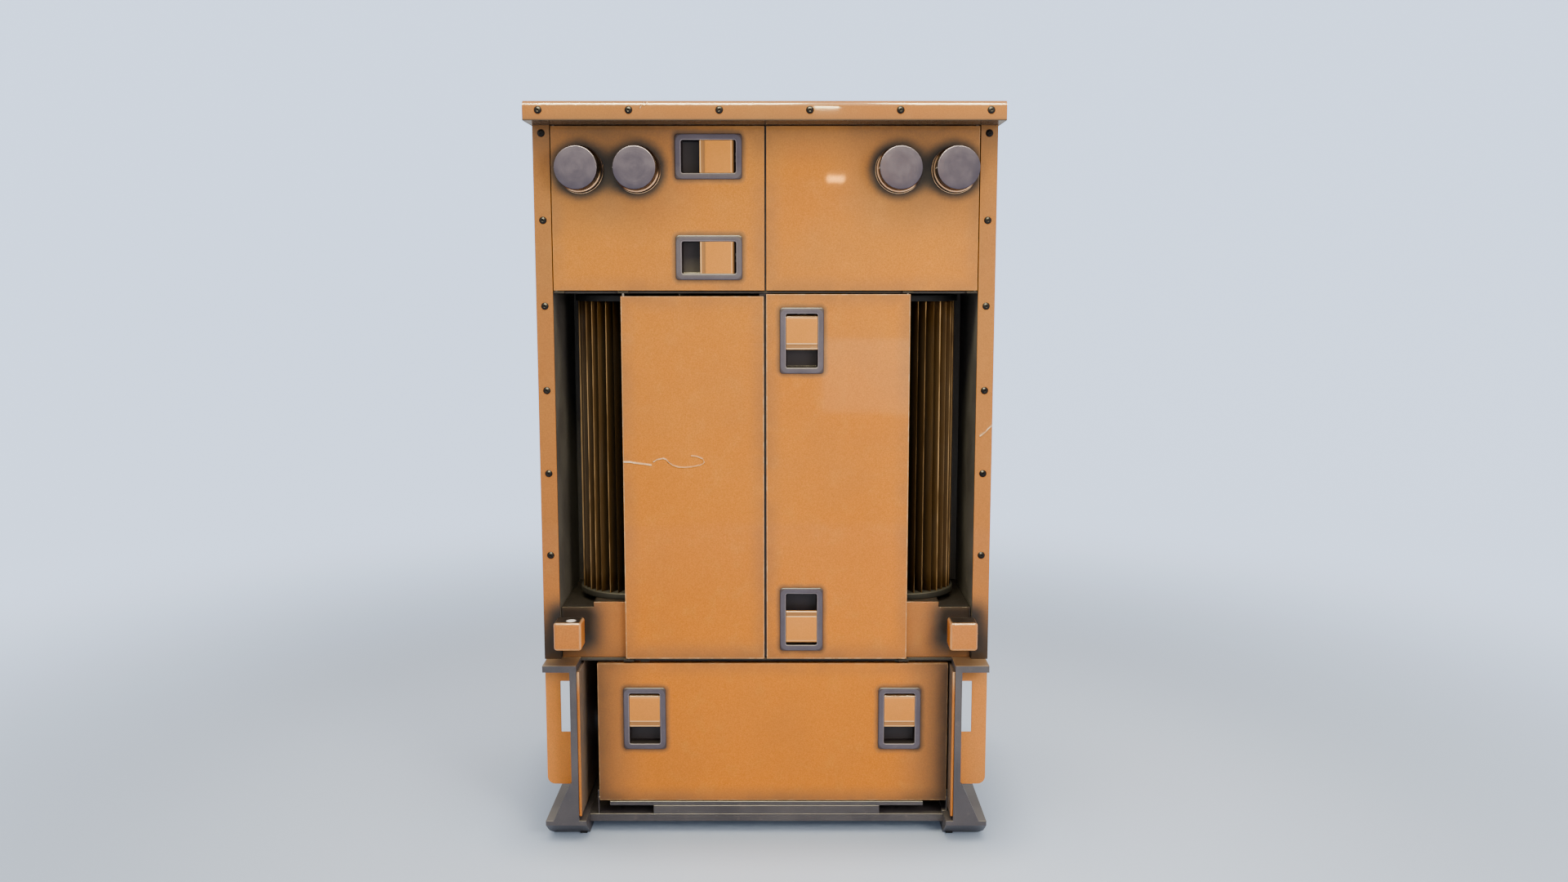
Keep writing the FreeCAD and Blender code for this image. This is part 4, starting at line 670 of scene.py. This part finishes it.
# A scratch across the right corner strip, and a nick in the roof's front edge: (x, z).
STRIP_MARK = [(strip_high.x - 0.0225, 0.7795), (strip_high.x - 0.013, 0.7862),
              (strip_high.x - 0.008, 0.7925), (strip_high.x - 0.001, 0.7990)]
ROOF_NICK = [(-0.2195, roof_high.z - 0.0135), (-0.2140, roof_high.z - 0.0035),
             (-0.2115, roof_high.z - 0.0090), (-0.2075, roof_high.z - 0.0025)]
# Painted shadow of the roof's overhang on the tops of the upper doors.
TOP_SHADE = ("Z", top_z - 0.085, top_z + 0.004, 0.40)
MID_SHADE = ("Z", low_edge + 0.05, low_edge - 0.01, 0.3)


def on_door(points):
    return [(left_edge + x, low_edge + z) for x, z in points]


node_paint = {
    "door_upper_left": orange_paint(
        "paint_upper_left", DOORS["door_upper_left"], edge_highlight=0.15, shades=[TOP_SHADE],
        shade_halos=round_ports("outer_left", "inner_left") + [near_latch("upper_high"), near_latch("upper_low")]),
    "door_upper_right": orange_paint(
        "paint_upper_right", DOORS["door_upper_right"], edge_highlight=0.15, shades=[TOP_SHADE],
        shade_halos=round_ports("inner_right", "outer_right")),
    "door_mid_left": orange_paint(
        "paint_mid_left", DOORS["door_mid_left"], edge_highlight=0.8, shades=[MID_SHADE],
        scratches=[(on_door(GOUGE), 0.0030, 1.0), (on_door(GOUGE_RISE), 0.0026, 0.9),
                   (on_door(GOUGE_LOOP), 0.0026, 0.4)]),
    "door_mid_right": orange_paint(
        "paint_mid_right", DOORS["door_mid_right"], edge_highlight=0.8, shades=[MID_SHADE],
        shade_halos=[near_latch("mid_high"), near_latch("mid_low")]),
    "door_lower": orange_paint(
        "paint_lower", DOORS["door_lower"], shade_halos=[near_latch("lower_left"), near_latch("lower_right")],
        shades=[("Z", lower_low.z + 0.035, lower_low.z - 0.005, 0.35),
                ("X", lower_low.x + 0.11, lower_low.x - 0.03, 0.72),
                ("X", lower_high.x - 0.12, lower_high.x + 0.02, 0.85)]),
    "roof_cap": orange_paint(
        "paint_roof", scratches=[(ROOF_NICK, 0.0022, 1.0)],
        # Painted shade on the roof's underside and at the foot of its front face.
        shades=[("Z", roof_low.z + 0.004, roof_low.z + 0.0002, 0.92),
                ("Z", roof_low.z + 0.02, roof_low.z - 0.01, 0.3), all_over(0.24)]),
    # The soffit is darkened nearly to black: painted shade under the roof.
    "roof_soffit": orange_paint("painted_shade_soffit", shades=[all_over(0.91)]),
    "corner_strips": orange_paint(
        "paint_strips", scratches=[(STRIP_MARK, 0.0032, 0.8)],
        shade_halos=[near_port("outer_left", 0.3), near_port("outer_right", 0.3), near_buffer(0, 0.97, 0.05),
               near_buffer(1, 0.97, 0.05)],
        # Painted shadow of the roof's overhang at the strips' tops; darker towards their bottoms too.
        shades=[("Z", top_z - 0.10, top_z + 0.004, 0.55),
                ("Z", strip_low.z + 0.125, strip_low.z + 0.01, 0.88), all_over(0.28)]),
    "bay_sills": orange_paint(
        "paint_sills", shade_halos=[near_buffer(0, 0.97, 0.055), near_buffer(1, 0.97, 0.055)],
        shades=[("Y", sill_low.y + 0.0004, sill_low.y + 0.0018, 0.9),
                ("Z", sill_low.z + 0.05, sill_low.z - 0.01, 0.3), all_over(0.34)]),
    "apron_plates": orange_paint("paint_aprons", shades=[("Z", 0.285, 0.345, 0.4)], worn=0.14),
    "lower_side_plates": plate_paint(),
    "skid_brackets": bracket_paint(),
    "main_floor": shelf_paint("main_floor"),
    "upper_shelf": shelf_paint("upper_shelf"),
    "side_panels": weathered("paint_sides", "Y", *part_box("side_panels")),
    "rear_panel": weathered("paint_rear", "X", *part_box("rear_panel")),
    "corner_buffers": buffer_paint(),
}
slot_paint = {
    "orange_paint": orange_paint("paint_plain"),
    "dark_paint": enamel("enamel_dark", rgb(0.036, 0.031, 0.036), rgb(0.056, 0.049, 0.055)),
    "inner_paint": enamel("enamel_inner", rgb(0.050, 0.044, 0.040), rgb(0.072, 0.064, 0.056), 0.5,
                          rgb(0.055, 0.048, 0.042)),
    "screw_black": enamel("black_oxide", rgb(0.006, 0.005, 0.005), rgb(0.014, 0.012, 0.011), 0.36,
                          rgb(0.05, 0.04, 0.03), 0.12, 1600.0),
    "plain_steel": zinc("zinc_steel", rgb(0.16, 0.155, 0.15)),
    "spring_steel": zinc("spring_wire", rgb(0.42, 0.42, 0.44), 0.22),
    "filter_paper": paper("pleat_paper"),
    "filter_cap_rubber": rubber("end_cap_rubber", rgb(0.005, 0.005, 0.005), 0.6, rgb(0.018, 0.015, 0.012)),
    "seal_rubber": rubber("seal_rubber"),
    "magnet_block": rubber("catch_case", rgb(0.03, 0.03, 0.032), 0.42),
}


# ------------------------------------------------------------------ mesh helpers
CORNER_STEPS = 6


def put(name, data):
    thing = bpy.data.objects.new(name, data)
    bpy.context.scene.collection.objects.link(thing)
    return thing


def made(name, mesh, material):
    """A smooth object from a bmesh, which is used up."""
    data = bpy.data.meshes.new(name)
    mesh.to_mesh(data)
    mesh.free()
    data.shade_smooth()
    data.materials.append(material)
    return put(name, data)


def shape(name, mesh, node, material=None, sharp=38, stands_for=True):
    bmesh.ops.recalc_face_normals(mesh, faces=mesh.faces)
    thing = made(name, mesh, material or slot_paint[SLOT[node]])
    thing.data.set_sharp_from_angle(angle=math.radians(sharp))
    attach(thing, BODY[node])
    if stands_for:
        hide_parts(node)
    return thing


def soften(thing, width, segments=3):
    """Rounds a piece's sharp edges and keeps its flats flat."""
    bevel = thing.modifiers.new("rounded", "BEVEL")
    bevel.width = width
    bevel.segments = segments
    bevel.limit_method = "ANGLE"
    bevel.angle_limit = math.radians(30)
    bevel.use_clamp_overlap = True
    weighted = thing.modifiers.new("flats", "WEIGHTED_NORMAL")
    weighted.keep_sharp = False
    weighted.weight = 100
    thing.data.shade_smooth()


def refined(node, width):
    """A copy of a CAD node's shape with rounded edges, which stands for the node."""
    mesh = bmesh.new()
    mesh.from_mesh(frame["nodes"][node].data)
    bmesh.ops.remove_doubles(mesh, verts=mesh.verts, dist=2e-6)
    bmesh.ops.dissolve_limit(mesh, angle_limit=math.radians(0.6), verts=mesh.verts, edges=mesh.edges)
    soften(shape(f"{node}_shell", mesh, node, node_paint.get(node), 180), width)


def arc(x, y, radius, start, end, steps):
    """Points on a circle from one angle to another, in degrees."""
    angles = (math.radians(start + (end - start) * i / steps) for i in range(steps + 1))
    return [(x + radius * math.cos(a), y + radius * math.sin(a)) for a in angles]


def loft(mesh, rings, first_cap=True, last_cap=True, joined=False):
    """Skins rings of equally many points. joined skins the last ring to the first too."""
    rows = [[mesh.verts.new(point) for point in ring] for ring in rings]
    for low, high in zip(rows, rows[1:] + rows[:1] if joined else rows[1:]):
        count = len(low)
        for i in range(count):
            j = (i + 1) % count
            mesh.faces.new((low[i], low[j], high[j], high[i]))
    if first_cap:
        mesh.faces.new(rows[0])
    if last_cap:
        mesh.faces.new(rows[-1])


def in_metres(profile):
    return [(radius * MM, along * MM) for radius, along in profile]


def lathe(mesh, centre, profile, first_cap=True, last_cap=True, axis="y", steps=96, shaper=None,
          joined=False):
    """Turns (radius, distance along) pairs about an axis through centre. joined closes the section."""
    rings = []
    for radius, along in profile:
        ring = []
        for i in range(steps):
            angle = 2 * math.pi * i / steps
            r = shaper(radius, angle) if shaper else radius
            a, b = r * math.cos(angle), r * math.sin(angle)
            ring.append(Vector(centre) + Vector((a, along, b) if axis == "y" else (a, b, along)))
        rings.append(ring)
    loft(mesh, rings, first_cap, last_cap, joined)


def round_rect(half_x, half_z, radius, y):
    """Points (x, y, z) round a rectangle with round corners."""
    points = []
    for quarter, (sx, sz) in enumerate(((1, 1), (-1, 1), (-1, -1), (1, -1))):
        for i in range(CORNER_STEPS + 1):
            angle = math.pi / 2 * (quarter + i / CORNER_STEPS)
            points.append((sx * (half_x - radius) + radius * math.cos(angle), y,
                           sz * (half_z - radius) + radius * math.sin(angle)))
    return points


def place_latch(latch, point):
    """From a latch's own frame, in millimetres, to the row frame."""
    x, y, z = point
    angle = math.radians(LATCH_TURN[latch])
    cosine, sine = math.cos(angle), math.sin(angle)
    return LATCHES[latch] + Vector((x * cosine + z * sine, y, z * cosine - x * sine)) * MM


def slab(mesh, low, high):
    """A box, for parts whose edges are rounded later."""
    verts = [mesh.verts.new(corner) for corner in itertools.product(*zip(low, high))]
    for face in ((0, 1, 3, 2), (4, 6, 7, 5), (0, 4, 5, 1), (2, 3, 7, 6), (0, 2, 6, 4), (1, 5, 7, 3)):
        mesh.faces.new([verts[i] for i in face])
    return verts


# ------------------------------------------------------------------ latches
# In millimetres, in a latch's own frame.
OPENING_HALF = (50.5, 30.0)
# Below its rounded edge the pan has tighter corners, which leave room for the hinge end of a raised paddle.
TIGHT_CORNER = 2.0
EDGE_DEPTH = -1.5


def pan_section():
    """Bezel and pan in one skin, from the pan's floor out over the bezel and back round the outside.

    Points are (offset out from the opening's edge, depth).
    """
    floor = arc(-3.5, 21.5, 3.0, 90, 0, 4)
    inner_edge = arc(0.9, -1.9, 1.1, 180, 270, 3)
    outer_edge = arc(8.8, -0.8, 2.2, -90, 0, 4)
    back = arc(-0.7, 23.5, 2.5, 0, 90, 3)
    return floor + [(-0.3, -0.8)] + inner_edge + outer_edge + [(11.0, 0.0), (1.8, 0.0)] + back


def paddle_section():
    """Side outline of a paddle, (along the throw, depth): hinge edge, face, finger scoop, lip, barrel."""
    scoop = [(-4.5 - 9.0 * t, -2.0 + 0.55 * (1 - math.cos(math.tau * t))) for t in (i / 7 for i in range(8))]
    lip = arc(-14.0, 0.5, 2.5, -100, -270, 8)
    return (arc(43.2, 0.2, 2.2, 0, -90, 4) + scoop + lip + [(-11.5, 1.0), (36.0, 1.0)]
            + arc(43.0, 6.0, 5.4, 190, -40, 12))


PADDLE_HALF = 29.2
PADDLE_EDGE = 0.5
# Two corners of the lug at a paddle's hinge.
LUG = ((41.2, 9.0, -5.0), (44.8, 20.0, 5.0))
for latch, node in PAN_NODE.items():
    mesh = bmesh.new()
    rings = []
    for offset, depth in pan_section():
        corner = TIGHT_CORNER if offset < 0 and depth > EDGE_DEPTH else 4.0 + 0.2 * offset
        outline = round_rect(OPENING_HALF[0] + offset, OPENING_HALF[1] + offset, corner, depth)
        rings.append([place_latch(latch, point) for point in outline])
    loft(mesh, rings)
    shape(f"latch_pan_{latch}", mesh, f"latch_pans_{node}", latch_metal(latch), 50)
    mesh = bmesh.new()
    section = [Vector(point) for point in paddle_section()]
    rings = []
    for z, inset in ((-PADDLE_HALF, PADDLE_EDGE), (-PADDLE_HALF + PADDLE_EDGE, 0.0),
                     (PADDLE_HALF - PADDLE_EDGE, 0.0), (PADDLE_HALF, PADDLE_EDGE)):
        ring = []
        for before, point, after in zip(section[-1:] + section, section, section[1:] + section[:1]):
            run = (after - before).normalized()
            moved = point + Vector((run.y, -run.x)) * inset
            ring.append(place_latch(latch, (moved.x, moved.y, z)))
        rings.append(ring)
    loft(mesh, rings)
    for vert in slab(mesh, *LUG):
        vert.co = place_latch(latch, vert.co)
    shape(f"paddle_{latch}", mesh, f"latch_paddle_{latch}", paddle_paint(latch), 42)


# ------------------------------------------------------------------ ports
CAP_PROFILE = in_metres([
    (0.01, -CAP_STAND), (24.0, -CAP_STAND), *arc(CAP_RADIUS - 1.6, -CAP_STAND + 1.6, 1.6, -90, 0, 5),
    (CAP_RADIUS, -23.0), *arc(SHOULDER_RADIUS - 0.8, -18.6, 0.8, -45, 0, 2),
    *arc(SHOULDER_RADIUS - 0.8, -10.3, 0.8, 0, 90, 3), (34.4, -9.5), (34.4, -47.0), (0.01, -47.0)])
SPIGOT_PROFILE = in_metres([
    (29.0, 14.0), (29.0, -43.5), (29.5, -44.0), (33.5, -44.0), (34.0, -43.5), (34.0, -8.0), (39.4, -8.0),
    (40.0, -7.4), (40.0, -2.0), *arc(FLANGE_RADIUS - 0.7, -1.3, 0.7, -90, 0, 3), (FLANGE_RADIUS, 0.0),
    (34.0, 0.0), (34.0, 2.0), (41.0, 2.0), (41.0, 12.0), (34.0, 12.0), (34.0, 14.0)])
for port, centre in PORTS.items():
    at = (centre.x, FRONT, centre.z)
    side = port.split("_")[1]
    metal = port_metal(f"steel_{port}", at)
    mesh = bmesh.new()
    lathe(mesh, at, CAP_PROFILE)
    shape(f"cap_{port}", mesh, f"port_cap_{port}", metal, 30)
    mesh = bmesh.new()
    lathe(mesh, at, SPIGOT_PROFILE, False, False, joined=True)
    shape(f"spigot_{port}", mesh, f"port_spigots_{side}", metal, 30)
    # A painted index line, let into the side of the cap, shows which way it is turned.
    mesh = bmesh.new()
    slab(mesh, (at[0] - (CAP_RADIUS + 0.25) * MM, FRONT - 51.0 * MM, at[2] - 0.8 * MM),
         (at[0] - (CAP_RADIUS - 0.4) * MM, FRONT - 24.5 * MM, at[2] + 0.8 * MM))
    paint = enamel(f"index_paint_{port}", rgb(0.85, 0.78, 0.68), rgb(0.92, 0.86, 0.78))
    soften(shape(f"index_{port}", mesh, f"port_cap_{port}", paint, stands_for=False), 0.2 * MM, 2)


# ------------------------------------------------------------------ screws
SOCKET_RADIUS = 2.6 * MM


def hexed(radius, angle):
    """A hexagon's outline for radii inside the socket, a circle for the rest."""
    if radius > SOCKET_RADIUS:
        return radius
    sector = math.pi / 3
    return radius * math.cos(sector / 2) / math.cos((angle % sector) - sector / 2)


SCREW_PROFILE = in_metres([
    (7.0, 0.0), *arc(0.0, 4.1, 8.08, -30, -70, 7), (2.5, -3.3), (2.4, -1.4), (0.3, -1.1)])
SCREW_STAND = 3.5 * MM
for index, box in enumerate(SCREWS):
    centre = middle(box)
    mesh = bmesh.new()
    lathe(mesh, (centre.x, box[0].y + SCREW_STAND, centre.z), SCREW_PROFILE, steps=36, shaper=hexed)
    shape(f"screw_{index:02d}", mesh, "dome_screws", sharp=40)


# ------------------------------------------------------------------ cartridges
PLEATS = 36
LEVELS = 14
# Half a pleat: (share of its half width, share of its depth), rounded at the fold and in the valley.
FOLD = [(share, 0.55 * share + 0.45 * (1 - math.cos(math.pi * share)) / 2)
        for share in (i / 6 for i in range(7))]


def pleat_ring(centre, outer, z, seed):
    """One level of the pleated sheet, with small uneven leans from pleat to pleat."""
    ring = []
    for pleat in range(PLEATS):
        wobble = math.sin(pleat * 2.3 + seed) * 0.10 + math.sin(pleat * 5.1 + seed * 3 + z * 4) * 0.05
        reach = outer - 0.0011 * (1 + math.sin(pleat * 3.7 + seed * 2))
        steps = [(-s, w) for s, w in reversed(FOLD[1:])] + FOLD[:-1]
        for share, depth in steps:
            lean = wobble * (1 - depth)
            angle = 2 * math.pi * (pleat + 0.5 * share + lean) / PLEATS
            radius = reach - (reach - outer + PLEAT_DEPTH) * depth
            ring.append((centre.x + radius * math.cos(angle), centre.y + radius * math.sin(angle), z))
    return ring


for index, box in enumerate(FILTERS):
    side = ("left", "right")[index]
    centre = middle(box)
    outer = (box[1].x - box[0].x) / 2
    mesh = bmesh.new()
    heights = [box[0].z + (box[1].z - box[0].z) * i / LEVELS for i in range(LEVELS + 1)]
    loft(mesh, [pleat_ring(centre, outer, z, index * 1.7) for z in heights], False, False)
    media = shape(f"media_{side}", mesh, "filter_media", sharp=60)
    sheet = media.modifiers.new("sheet", "SOLIDIFY")
    sheet.thickness = MEDIA_GAUGE
    sheet.offset = -1.0

END_CAP = in_metres([
    (12.0, 0.0), *arc(99.0, 2.0, 2.0, -90, 0, 4), *arc(99.0, 10.0, 2.0, 0, 90, 4), (12.0, 12.0)])
for index, box in enumerate(islands("filter_end_caps")):
    centre = middle(box)
    mesh = bmesh.new()
    lathe(mesh, (centre.x, centre.y, box[0].z), END_CAP, False, False, "z", joined=True)
    shape(f"end_cap_{index}", mesh, "filter_end_caps", sharp=35)


# ------------------------------------------------------------------ sheet metal and fittings
# How wide the edges are rounded, in millimetres.
EDGE_WIDTH = {
    "door_upper_left": 1.3, "door_upper_right": 1.3, "door_mid_left": 1.3, "door_mid_right": 1.3,
    "door_lower": 1.3, "roof_cap": 1.2, "roof_soffit": 0.4, "corner_strips": 1.0, "bay_sills": 0.7,
    "apron_plates": 1.0, "skid_brackets": 0.7, "lower_side_plates": 1.2, "deck_plate": 1.2,
    "floor_spacer": 1.0, "raised_floor": 1.2, "centre_posts": 0.8, "rear_panel": 0.6, "side_panels": 0.6,
    "upper_shelf": 0.6, "main_floor": 0.6, "bay_back_walls": 0.3, "bay_dividers": 0.3,
    "bay_side_walls": 0.3, "magnet_catches": 1.0, "post_seals": 0.8, "runner_pads": 1.0,
    "corner_buffers": 0.3,
}
for node, width in EDGE_WIDTH.items():
    refined(node, width * MM)
for node, thing in frame["nodes"].items():
    if not thing.hide_render:
        thing.data.materials.clear()
        thing.data.materials.append(node_paint.get(node) or slot_paint[SLOT[node]])


# ------------------------------------------------------------------ studio
FLOOR_RADIUS = 3.4
SWEEP_RADIUS = 1.6
WALL_TOP = 6.0
CAMERA_PLACE = (0.0343, -2.639, 1.0788)
CAMERA_TILT = math.radians(82.71)
CAMERA_LENS = 29.74


def studio_paper():
    g = Graph("studio_paper")
    fine = g.noise(160.0, 4.0, 0.6)
    color = g.mix(g.span(fine, 0.2, 0.8), rgb(0.66, 0.79, 0.985), rgb(0.68, 0.81, 1.0))
    away = g.vector("LENGTH", g.vector("MULTIPLY", g.place, (1.0, 1.0, 0.0)))
    # Painted shade: a darker ring on the floor round the cabinet.
    corner = g.product(g.span(away, 0.7, 1.5, 0.12, 0.45), g.span(away, 1.6, 3.0, 1.0, 0.0))
    color = g.mix(corner, color, rgb(0.33, 0.42, 0.56))
    # Painted shadow under the cabinet and just round its footprint.
    past = g.vector("SUBTRACT", g.vector("ABSOLUTE", g.place), (roof_high.x - 0.06, -strip_low.y, 9.0))
    foot = g.vector("LENGTH", g.vector("MAXIMUM", past))
    color = g.mix(g.span(foot, 0.0, 0.20, 0.65, 0.0), color, rgb(0.22, 0.27, 0.36))
    return g.finish(color, 0.9, specular=0.1, emission_color=rgb(0.46, 0.64, 1.0),
                    emission_strength=g.span(away, 1.2, 3.4, 0.04, 1.0))


def stage_piece(name, profile, material, first_cap):
    """Part of the studio, turned about the vertical so that every side looks alike."""
    mesh = bmesh.new()
    lathe(mesh, (0, 0, 0), profile, first_cap, False, "z")
    thing = made(name, mesh, material)
    return thing


paper_material = studio_paper()
stage_piece("studio_floor", [(0.01, 0.0), (1.5, 0.0), (FLOOR_RADIUS, 0.0)], paper_material, True)
sweep = [(FLOOR_RADIUS + SWEEP_RADIUS * math.sin(a), SWEEP_RADIUS * (1 - math.cos(a)))
         for a in (math.radians(d) for d in range(0, 91, 9))]
wall = stage_piece("studio_wall", sweep + [(FLOOR_RADIUS + SWEEP_RADIUS, WALL_TOP)], paper_material, False)
wall.visible_diffuse = False
wall.visible_glossy = False
wall.visible_shadow = False


def area_light(name, place, aim, size, power, color, diffuse=True, glossy=True):
    """A softbox that the camera doesn't see, and that may light only or only be mirrored."""
    light = bpy.data.lights.new(name, "AREA")
    light.shape = "RECTANGLE"
    light.size, light.size_y = size
    light.energy = power
    light.color = color
    lamp = put(name, light)
    lamp.location = place
    lamp.visible_camera = False
    lamp.visible_diffuse = diffuse
    lamp.visible_glossy = glossy
    lamp.rotation_euler = (Vector(aim) - Vector(place)).to_track_quat("-Z", "Y").to_euler()


AMBER, CANDLE, CREAM, BUTTER = (1.0, 0.40, 0.06), (1.0, 0.80, 0.40), (1.0, 0.78, 0.50), (1.0, 0.84, 0.48)
area_light("lamp_front", (0.1765, -1.425, 1.341), (0.1, -0.225, 1.25), (0.046, 0.016), 0.42, AMBER, False)
area_light("lamp_roof", (0.141, -1.29, 1.50), (0.1, -0.29, 1.37), (0.060, 0.005), 0.60, CANDLE, False)
area_light("patch_front", (0.44, -3.90, 0.61), (0.2, -0.2, 0.9), (0.45, 0.35), 2.0, CREAM, False)
area_light("strip_left", (-0.37, -1.4, 3.0), (-0.2, -0.3, 1.38), (0.9, 0.9), 700.0, BUTTER, False)
area_light("strip_right", (0.58, -1.4, 3.0), (0.3, -0.3, 1.38), (0.40, 0.9), 330.0, BUTTER, False)
area_light("softbox_top", (0.1, -0.9, 3.2), (0.0, -0.1, 0.8), (2.2, 1.0), 26.0, (1.0, 0.96, 0.90))
area_light("softbox_right", (1.15, -2.0, 1.35), (0.3, -0.2, 0.9), (0.8, 0.8), 34.0, (1.0, 0.92, 0.80),
           glossy=False)

world = bpy.data.worlds.new("studio_air")
bpy.context.scene.world = world
world.use_nodes = True
backdrop = world.node_tree.nodes["Background"]
backdrop.inputs[0].default_value = (1.0, 0.95, 0.89, 1.0)
backdrop.inputs[1].default_value = 1.2

camera_data = bpy.data.cameras.new("camera")
camera_data.lens = CAMERA_LENS
camera_data.sensor_width = 36.0
camera = put("camera", camera_data)
camera.location = CAMERA_PLACE
camera.rotation_euler = Euler((CAMERA_TILT, 0.0, 0.0))
bpy.context.scene.camera = camera
